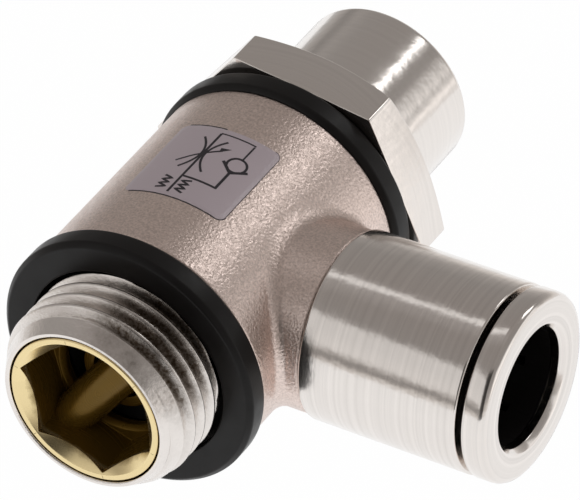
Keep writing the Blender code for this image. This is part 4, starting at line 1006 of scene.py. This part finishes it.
def make_symbol(sizes):
    """The standard sign of a one-way throttle: line, two arcs, arrow, bypass with a ball on its seat."""
    turn = np.linspace(0.0, math.tau, 49)
    ball = np.stack([2.60 + 1.02 * np.cos(turn), 17.45 + 1.02 * np.sin(turn)], -1)
    bow = np.linspace(-1.0, 1.0, 17)
    left_arc = np.stack([-1.38 - 1.15 * bow ** 2, 17.35 + 2.6 * bow], -1)
    right_arc = np.stack([-0.98 + 1.15 * bow ** 2, 17.35 + 2.6 * bow], -1)
    lines = [
        (fine_line([(-1.22, 10.7), (-1.18, 20.9)]), 1.0), (left_arc, 0.95), (right_arc, 0.95),
        (fine_line([(-3.3, 15.6), (-1.9, 16.9), (-0.5, 17.95), (0.35, 18.55)]), 0.8),
        (fine_line([(-1.22, 13.5), (2.55, 13.5)]), 1.0), (fine_line([(2.55, 13.4), (2.55, 16.1)]), 1.1),
        (fine_line([(1.15, 17.35), (2.56, 16.15), (4.0, 17.25)]), 1.25), (ball, 1.0),
        (fine_line([(2.66, 18.45), (2.68, 20.8)]), 0.7), (fine_line([(2.75, 20.95), (-1.2, 20.95)]), 0.6)]
    steps = np.arange(7)
    for side, lean in ((-2.35, -1.0), (-0.32, 1.0)):
        zigzag = np.stack([side + 0.5 * lean * (-1.0) ** steps, 13.1 - 0.34 * steps], -1)
        lines.append((fine_line(zigzag, 4), 0.95))
    lift = sizes.thickness + 0.012 * MM
    sheets = [stroke(points, sizes.line * share_of, lift, 0.02 * MM) for points, share_of in lines]
    head = np.array([[(0.1, 18.2), (1.05, 19.15), (0.0, 18.9)]])[0] * MM
    tip = on_barrel(head[:, 0], head[:, 1], lift)
    foot = on_barrel(head[:, 0], head[:, 1], lift - 0.02 * MM)
    ring = np.stack([foot, tip])
    centre = ring.mean(axis=1, keepdims=True) + 0 * ring
    sheets.append((np.concatenate([centre[:1], ring, centre[1:]]), False, True))
    return mesh_object("label_symbol", sheets, sharp=60.0)


def make_label_edge_shadow(sizes):
    """A painted shadow: the dark line that shows round the label's lower, right and upper left edges."""
    left, right, bottom, top, corner = (
        v / MM for v in (sizes.left, sizes.right, sizes.bottom, sizes.top, sizes.corner))
    turn = np.linspace(-math.pi / 2, 0.0, 9)
    low_corner = np.stack([right - corner + corner * np.cos(turn), bottom + corner + corner * np.sin(turn)], -1)
    high_corner = np.stack([right - corner + corner * np.cos(turn), top - corner - corner * np.sin(turn)], -1)[::-1]
    lower = np.concatenate([fine_line([(left + corner, bottom), (right - corner, bottom)], 24)[:-1], low_corner])
    right_side = np.concatenate([
        fine_line([(right, bottom + corner), (right, top - corner)], 12)[:-1], high_corner])
    lift = 0.5 * sizes.thickness
    sheets = [
        stroke(lower, sizes.line * 0.9, lift, 0.03 * MM), stroke(right_side, sizes.line * 0.5, lift, 0.03 * MM),
        stroke(fine_line([(left + corner, top), (left + 5.2, top)], 20), sizes.line, lift, 0.03 * MM)]
    return mesh_object("label_edge_shadow", sheets, sharp=60.0)


# Operators


class VALVE_OT_screw(bpy.types.Operator):
    """Build the hollow screw with its thread, hexagon and collar"""
    bl_idname = "valve.screw"
    bl_label = "Hollow screw"

    def execute(self, context):
        sizes = context.scene.valve_screw
        dress(make_threaded_end(sizes), finish_named("nickel_thread"), "turned_nickel", "valve_screw", "hollow_screw")
        dress(make_screw_head(sizes), finish_named("nickel_screw"), "turned_nickel", "valve_screw", "hollow_screw")
        return {"FINISHED"}


class VALVE_OT_washers(bpy.types.Operator):
    """Build the two black sealing washers"""
    bl_idname = "valve.washers"
    bl_label = "Washers"

    def execute(self, context):
        port = make_washer("washer_port", PORT_WASHER_LOW, PORT_WASHER_HIGH, 0.0, 0.17 * MM, True)
        cap = make_washer("washer_hexagon", HEX_WASHER_LOW, HEX_WASHER_HIGH, 0.17 * MM, 0.17 * MM, False)
        dress(port, finish_named("plastic_black"), "black_plastic", "valve_screw", "port_washer")
        dress(cap, finish_named("plastic_black"), "black_plastic", "valve_screw", "hex_washer")
        return {"FINISHED"}


class VALVE_OT_insert(bpy.types.Operator):
    """Build the brass throttle insert with its bar and nozzle"""
    bl_idname = "valve.insert"
    bl_label = "Throttle insert"

    def execute(self, context):
        sizes = context.scene.valve_insert
        for piece in (make_insert(sizes), make_bar(sizes)):
            dress(piece, finish_named("brass_painted_shade"), "brass", "valve_screw", "throttle_insert")
        return {"FINISHED"}


class VALVE_OT_adjuster(bpy.types.Operator):
    """Build the adjusting needle and its retaining ring"""
    bl_idname = "valve.adjuster"
    bl_label = "Adjuster"

    def execute(self, context):
        dress(make_needle(), finish_named("brass_turned"), "brass", "adjusting_needle", "needle")
        dress(make_retainer(), finish_named("nickel_screw"), "turned_nickel", "valve_screw", "needle_retainer")
        return {"FINISHED"}


class VALVE_OT_body(bpy.types.Operator):
    """Build the blasted banjo body"""
    bl_idname = "valve.body"
    bl_label = "Banjo body"

    def execute(self, context):
        body = make_body(context.scene.valve_body)
        dress(body, finish_named("nickel_blasted"), "blasted_nickel", "banjo", "banjo_body")
        return {"FINISHED"}


class VALVE_OT_socket(bpy.types.Operator):
    """Build the push-in socket's sleeve and release ring"""
    bl_idname = "valve.socket"
    bl_label = "Push-in socket"

    def execute(self, context):
        sizes = context.scene.valve_socket
        dress(make_sleeve(sizes), finish_named("nickel_branch"), "turned_nickel", "banjo", "tube_sleeve")
        dress(make_release_ring(sizes), finish_named("nickel_branch"), "turned_nickel", "release_collet", "release_ring")
        return {"FINISHED"}


class VALVE_OT_inner(bpy.types.Operator):
    """Give the seals, the spacer and the collet their finishes"""
    bl_idname = "valve.inner"
    bl_label = "Seals and collet"

    def execute(self, context):
        for node in ("check_seal", "needle_seal", "sleeve_seal", "tube_seal"):
            repaint(node, finish_named("rubber_black"))
        repaint("spacer_ring", finish_named("plastic_white"))
        repaint("collet", finish_named("plastic_black"))
        return {"FINISHED"}


class VALVE_OT_label(bpy.types.Operator):
    """Build the label with the standard one-way throttle sign"""
    bl_idname = "valve.label"
    bl_label = "Label"

    def execute(self, context):
        sizes = context.scene.valve_label
        field = moulded_plastic("label_field", tuple(sizes.field), 0.34)
        ink_and_edge_shadow = moulded_plastic("label_print_and_shadow", tuple(sizes.ink_and_edge_shadow), 0.5)
        dress(make_label(sizes), field, "blasted_nickel", "banjo")
        dress(make_symbol(sizes), ink_and_edge_shadow, "black_plastic", "banjo")
        # The dark line round the label's edges is a painted shadow, drawn in the ink colour.
        dress(make_label_edge_shadow(sizes), ink_and_edge_shadow, "black_plastic", "banjo")
        return {"FINISHED"}


# Camera, light and floor

VIEW_ROWS = ((0.85860157, 0.03456732, 0.51147673), (0.29992659, 0.77527303, -0.55587388),
             (-0.41574918, 0.63067966, 0.65528298))
VIEW_SHIFT = (-0.0158837586, 0.0111260455, 0.73786721735)


def make_camera(lens):
    """The camera that was fitted to the photograph: right, down and forward are the rows above."""
    rows = Matrix(VIEW_ROWS)
    data = bpy.data.cameras.new("camera")
    data.lens, data.sensor_width = lens, 36.0
    data.clip_start, data.clip_end = 0.01, 20.0
    camera = bpy.data.objects.new("camera", data)
    turn = rows.transposed() @ Matrix.Diagonal((1.0, -1.0, -1.0))
    camera.matrix_world = Matrix.Translation(-(rows.transposed() @ Vector(VIEW_SHIFT))) @ turn.to_4x4()
    bpy.context.scene.collection.objects.link(camera)
    bpy.context.scene.camera = camera


def ray_kinds(tree):
    """1 for the rays that see the background: from the camera, in gloss and through glass."""
    path = add(tree, "ShaderNodeLightPath")
    total = path.outputs["Is Camera Ray"]
    for name in ("Is Glossy Ray", "Is Transmission Ray"):
        either = add(tree, "ShaderNodeMath", operation="MAXIMUM")
        tree.links.new(total, either.inputs[0])
        tree.links.new(path.outputs[name], either.inputs[1])
        total = either.outputs[0]
    return total


def make_floor(depth, width):
    """A pale floor on the side that the valve lies on, seen from its front only."""
    half = width / 2
    grid = np.array([[(-half, depth, -half), (half, depth, -half)], [(-half, depth, half), (half, depth, half)]])
    floor = mesh_object("floor", [(grid, False, False)], outward=False)
    material = bpy.data.materials.new("floor")
    material.use_nodes = True
    tree = material.node_tree
    output = tree.nodes["Material Output"]
    tree.nodes.remove(tree.nodes["Principled BSDF"])
    paper = add(tree, "ShaderNodeBsdfDiffuse", {"Color": (0.86, 0.86, 0.86, 1.0)})
    white = add(tree, "ShaderNodeEmission", {"Color": (1.0, 1.0, 1.0, 1.0), "Strength": 1.0})
    amount = add(tree, "ShaderNodeMath", {1: 0.992}, operation="MULTIPLY")
    tree.links.new(ray_kinds(tree), amount.inputs[0])
    lit = add(tree, "ShaderNodeMixShader")
    tree.links.new(amount.outputs[0], lit.inputs[0])
    tree.links.new(paper.outputs[0], lit.inputs[1])
    tree.links.new(white.outputs[0], lit.inputs[2])
    clear = add(tree, "ShaderNodeBsdfTransparent")
    side = add(tree, "ShaderNodeNewGeometry")
    both = add(tree, "ShaderNodeMixShader")
    tree.links.new(side.outputs["Backfacing"], both.inputs[0])
    tree.links.new(lit.outputs[0], both.inputs[1])
    tree.links.new(clear.outputs[0], both.inputs[2])
    tree.links.new(both.outputs[0], output.inputs["Surface"])
    floor.data.materials.append(material)


def soft_panel(tree, direction, centre, up, half_wide, half_tall, soft, strength):
    """One soft panel of the studio: smooth steps of the direction's two offsets from the centre."""
    centre = Vector(centre).normalized()
    wide = centre.cross(Vector(up)).normalized()
    tall = wide.cross(centre)
    result = None
    for axis, half in ((wide, half_wide), (tall, half_tall)):
        offset = add(tree, "ShaderNodeVectorMath", {1: axis}, operation="DOT_PRODUCT")
        tree.links.new(direction, offset.inputs[0])
        size = add(tree, "ShaderNodeMath", operation="ABSOLUTE")
        tree.links.new(offset.outputs["Value"], size.inputs[0])
        step = add(tree, "ShaderNodeMapRange", {
            "From Min": half - soft, "From Max": half + soft, "To Min": 1.0, "To Max": 0.0},
            interpolation_type="SMOOTHSTEP")
        tree.links.new(size.outputs[0], step.inputs["Value"])
        result = multiply(tree, result, step.outputs["Result"])
    facing = add(tree, "ShaderNodeVectorMath", {1: centre}, operation="DOT_PRODUCT")
    tree.links.new(direction, facing.inputs[0])
    front = add(tree, "ShaderNodeMath", {1: 0.0}, operation="GREATER_THAN")
    tree.links.new(facing.outputs["Value"], front.inputs[0])
    result = multiply(tree, result, front.outputs[0])
    scaled = add(tree, "ShaderNodeMath", {1: strength}, operation="MULTIPLY")
    tree.links.new(result, scaled.inputs[0])
    return scaled.outputs[0]


def multiply(tree, first, second):
    """Product of two sockets, or the second alone."""
    if first is None:
        return second
    node = add(tree, "ShaderNodeMath", operation="MULTIPLY")
    tree.links.new(first, node.inputs[0])
    tree.links.new(second, node.inputs[1])
    return node.outputs[0]


PANELS = (
    # centre, up, half width, half height, softness, strength
    ((0.34, -0.68, 0.66), (0.0, -1.0, 0.0), 0.115, 0.17, 0.025, 2.2),
    ((-0.42, -0.40, -0.82), (0.0, -1.0, 0.0), 0.45, 0.27, 0.05, 0.42),
    ((0.95, -0.12, 0.3), (0.0, -1.0, 0.0), 0.55, 0.24, 0.05, 0.58),
    ((-0.42, -0.9, -0.03), (0.0, 0.0, 1.0), 0.6, 0.14, 0.10, 0.06),
    ((-0.416, -0.905, 0.096), (1.0, 0.0, 0.0), 0.055, 0.30, 0.03, 0.55),
)

# What stands round the camera and the paper's dark far edge: the last number is the share of light taken away
SHADES = (
    ((0.25, -0.28, -0.93), (0.0, -1.0, 0.0), 0.25, 0.50, 0.09, 0.86),
    ((-0.416, 0.0, -0.91), (0.0, -1.0, 0.0), 0.40, 0.055, 0.04, 0.50),
    ((0.756, 0.0, 0.655), (0.0, -1.0, 0.0), 0.30, 0.06, 0.04, 0.35),
    ((-0.75, 0.05, 0.655), (0.0, -1.0, 0.0), 0.35, 0.24, 0.10, 0.42),
)


def make_studio():
    """The room round the valve: a dim warm ceiling, a paler horizon, soft panels, a white floor."""
    world = bpy.data.worlds.new("studio")
    bpy.context.scene.world = world
    world.use_nodes = True
    tree = world.node_tree
    background = tree.nodes["Background"]
    direction = add(tree, "ShaderNodeTexCoord").outputs["Generated"]
    height = add(tree, "ShaderNodeVectorMath", {1: (0.0, -1.0, 0.0)}, operation="DOT_PRODUCT")
    tree.links.new(direction, height.inputs[0])
    ramp = add(tree, "ShaderNodeValToRGB")
    position = add(tree, "ShaderNodeMapRange", {"From Min": -1.0, "From Max": 1.0})
    tree.links.new(height.outputs["Value"], position.inputs["Value"])
    tree.links.new(position.outputs["Result"], ramp.inputs[0])
    stops = ramp.color_ramp.elements
    stops[0].position, stops[0].color = 0.30, (0.98, 0.98, 0.98, 1.0)
    stops[1].position, stops[1].color = 1.0, (0.29, 0.265, 0.25, 1.0)
    for place, level in ((0.46, 0.72), (0.52, 0.50), (0.60, 0.37), (0.72, 0.30)):
        stop = stops.new(place)
        stop.color = (level, level * 0.945, level * 0.90, 1.0)
    total = ramp.outputs[0]
    for panel in PANELS:
        glow = add(tree, "ShaderNodeVectorMath", operation="ADD")
        tree.links.new(total, glow.inputs[0])
        tree.links.new(soft_panel(tree, direction, *panel), glow.inputs[1])
        total = glow.outputs[0]
    for panel in SHADES:
        shade = add(tree, "ShaderNodeMath", {0: 1.0}, operation="SUBTRACT")
        tree.links.new(soft_panel(tree, direction, *panel), shade.inputs[1])
        dimmed = add(tree, "ShaderNodeVectorMath", operation="SCALE")
        tree.links.new(total, dimmed.inputs[0])
        tree.links.new(shade.outputs[0], dimmed.inputs["Scale"])
        total = dimmed.outputs[0]
    path = add(tree, "ShaderNodeLightPath")
    seen = add(tree, "ShaderNodeMix", data_type="RGBA")
    tree.links.new(path.outputs["Is Camera Ray"], seen.inputs[0])
    tree.links.new(total, seen.inputs[6])
    seen.inputs[7].default_value = (1.0, 1.0, 1.0, 1.0)
    tree.links.new(seen.outputs[2], background.inputs["Color"])
    background.inputs["Strength"].default_value = 1.0


class VALVE_OT_stage(bpy.types.Operator):
    """Set the floor, the studio's soft light and the camera"""
    bl_idname = "valve.stage"
    bl_label = "Stage"

    def execute(self, context):
        stage = context.scene.valve_stage
        make_camera(stage.lens)
        make_floor(stage.floor, stage.floor_width)
        make_studio()
        context.scene.view_settings.view_transform = "Standard"
        return {"FINISHED"}


OPERATORS = (
    VALVE_OT_screw, VALVE_OT_washers, VALVE_OT_insert, VALVE_OT_adjuster, VALVE_OT_body, VALVE_OT_socket,
    VALVE_OT_inner, VALVE_OT_label, VALVE_OT_stage)


class VALVE_PT_panel(bpy.types.Panel):
    """Buttons and sizes of the valve"""
    bl_idname = "VALVE_PT_panel"
    bl_label = "Banjo flow control valve"
    bl_space_type = "VIEW_3D"
    bl_region_type = "UI"
    bl_category = "Valve"

    def draw(self, context):
        for operator in OPERATORS:
            self.layout.operator(operator.bl_idname)
        for group, kind in GROUPS.items():
            box = self.layout.box()
            for field in kind.__annotations__:
                box.prop(getattr(context.scene, group), field)


def register():
    """Register the property groups, the operators and the panel."""
    for group, kind in GROUPS.items():
        bpy.utils.register_class(kind)
        setattr(bpy.types.Scene, group, PointerProperty(type=kind))
    for kind in (*OPERATORS, VALVE_PT_panel):
        bpy.utils.register_class(kind)


def unregister():
    """Take them out again."""
    for kind in (VALVE_PT_panel, *reversed(OPERATORS)):
        bpy.utils.unregister_class(kind)
    for group, kind in GROUPS.items():
        delattr(bpy.types.Scene, group)
        bpy.utils.unregister_class(kind)


def main():
    """Build the whole valve and its stage."""
    register()
    for operator in OPERATORS:
        getattr(bpy.ops.valve, operator.bl_idname.split(".")[1])()


if __name__ == "__main__":
    main()
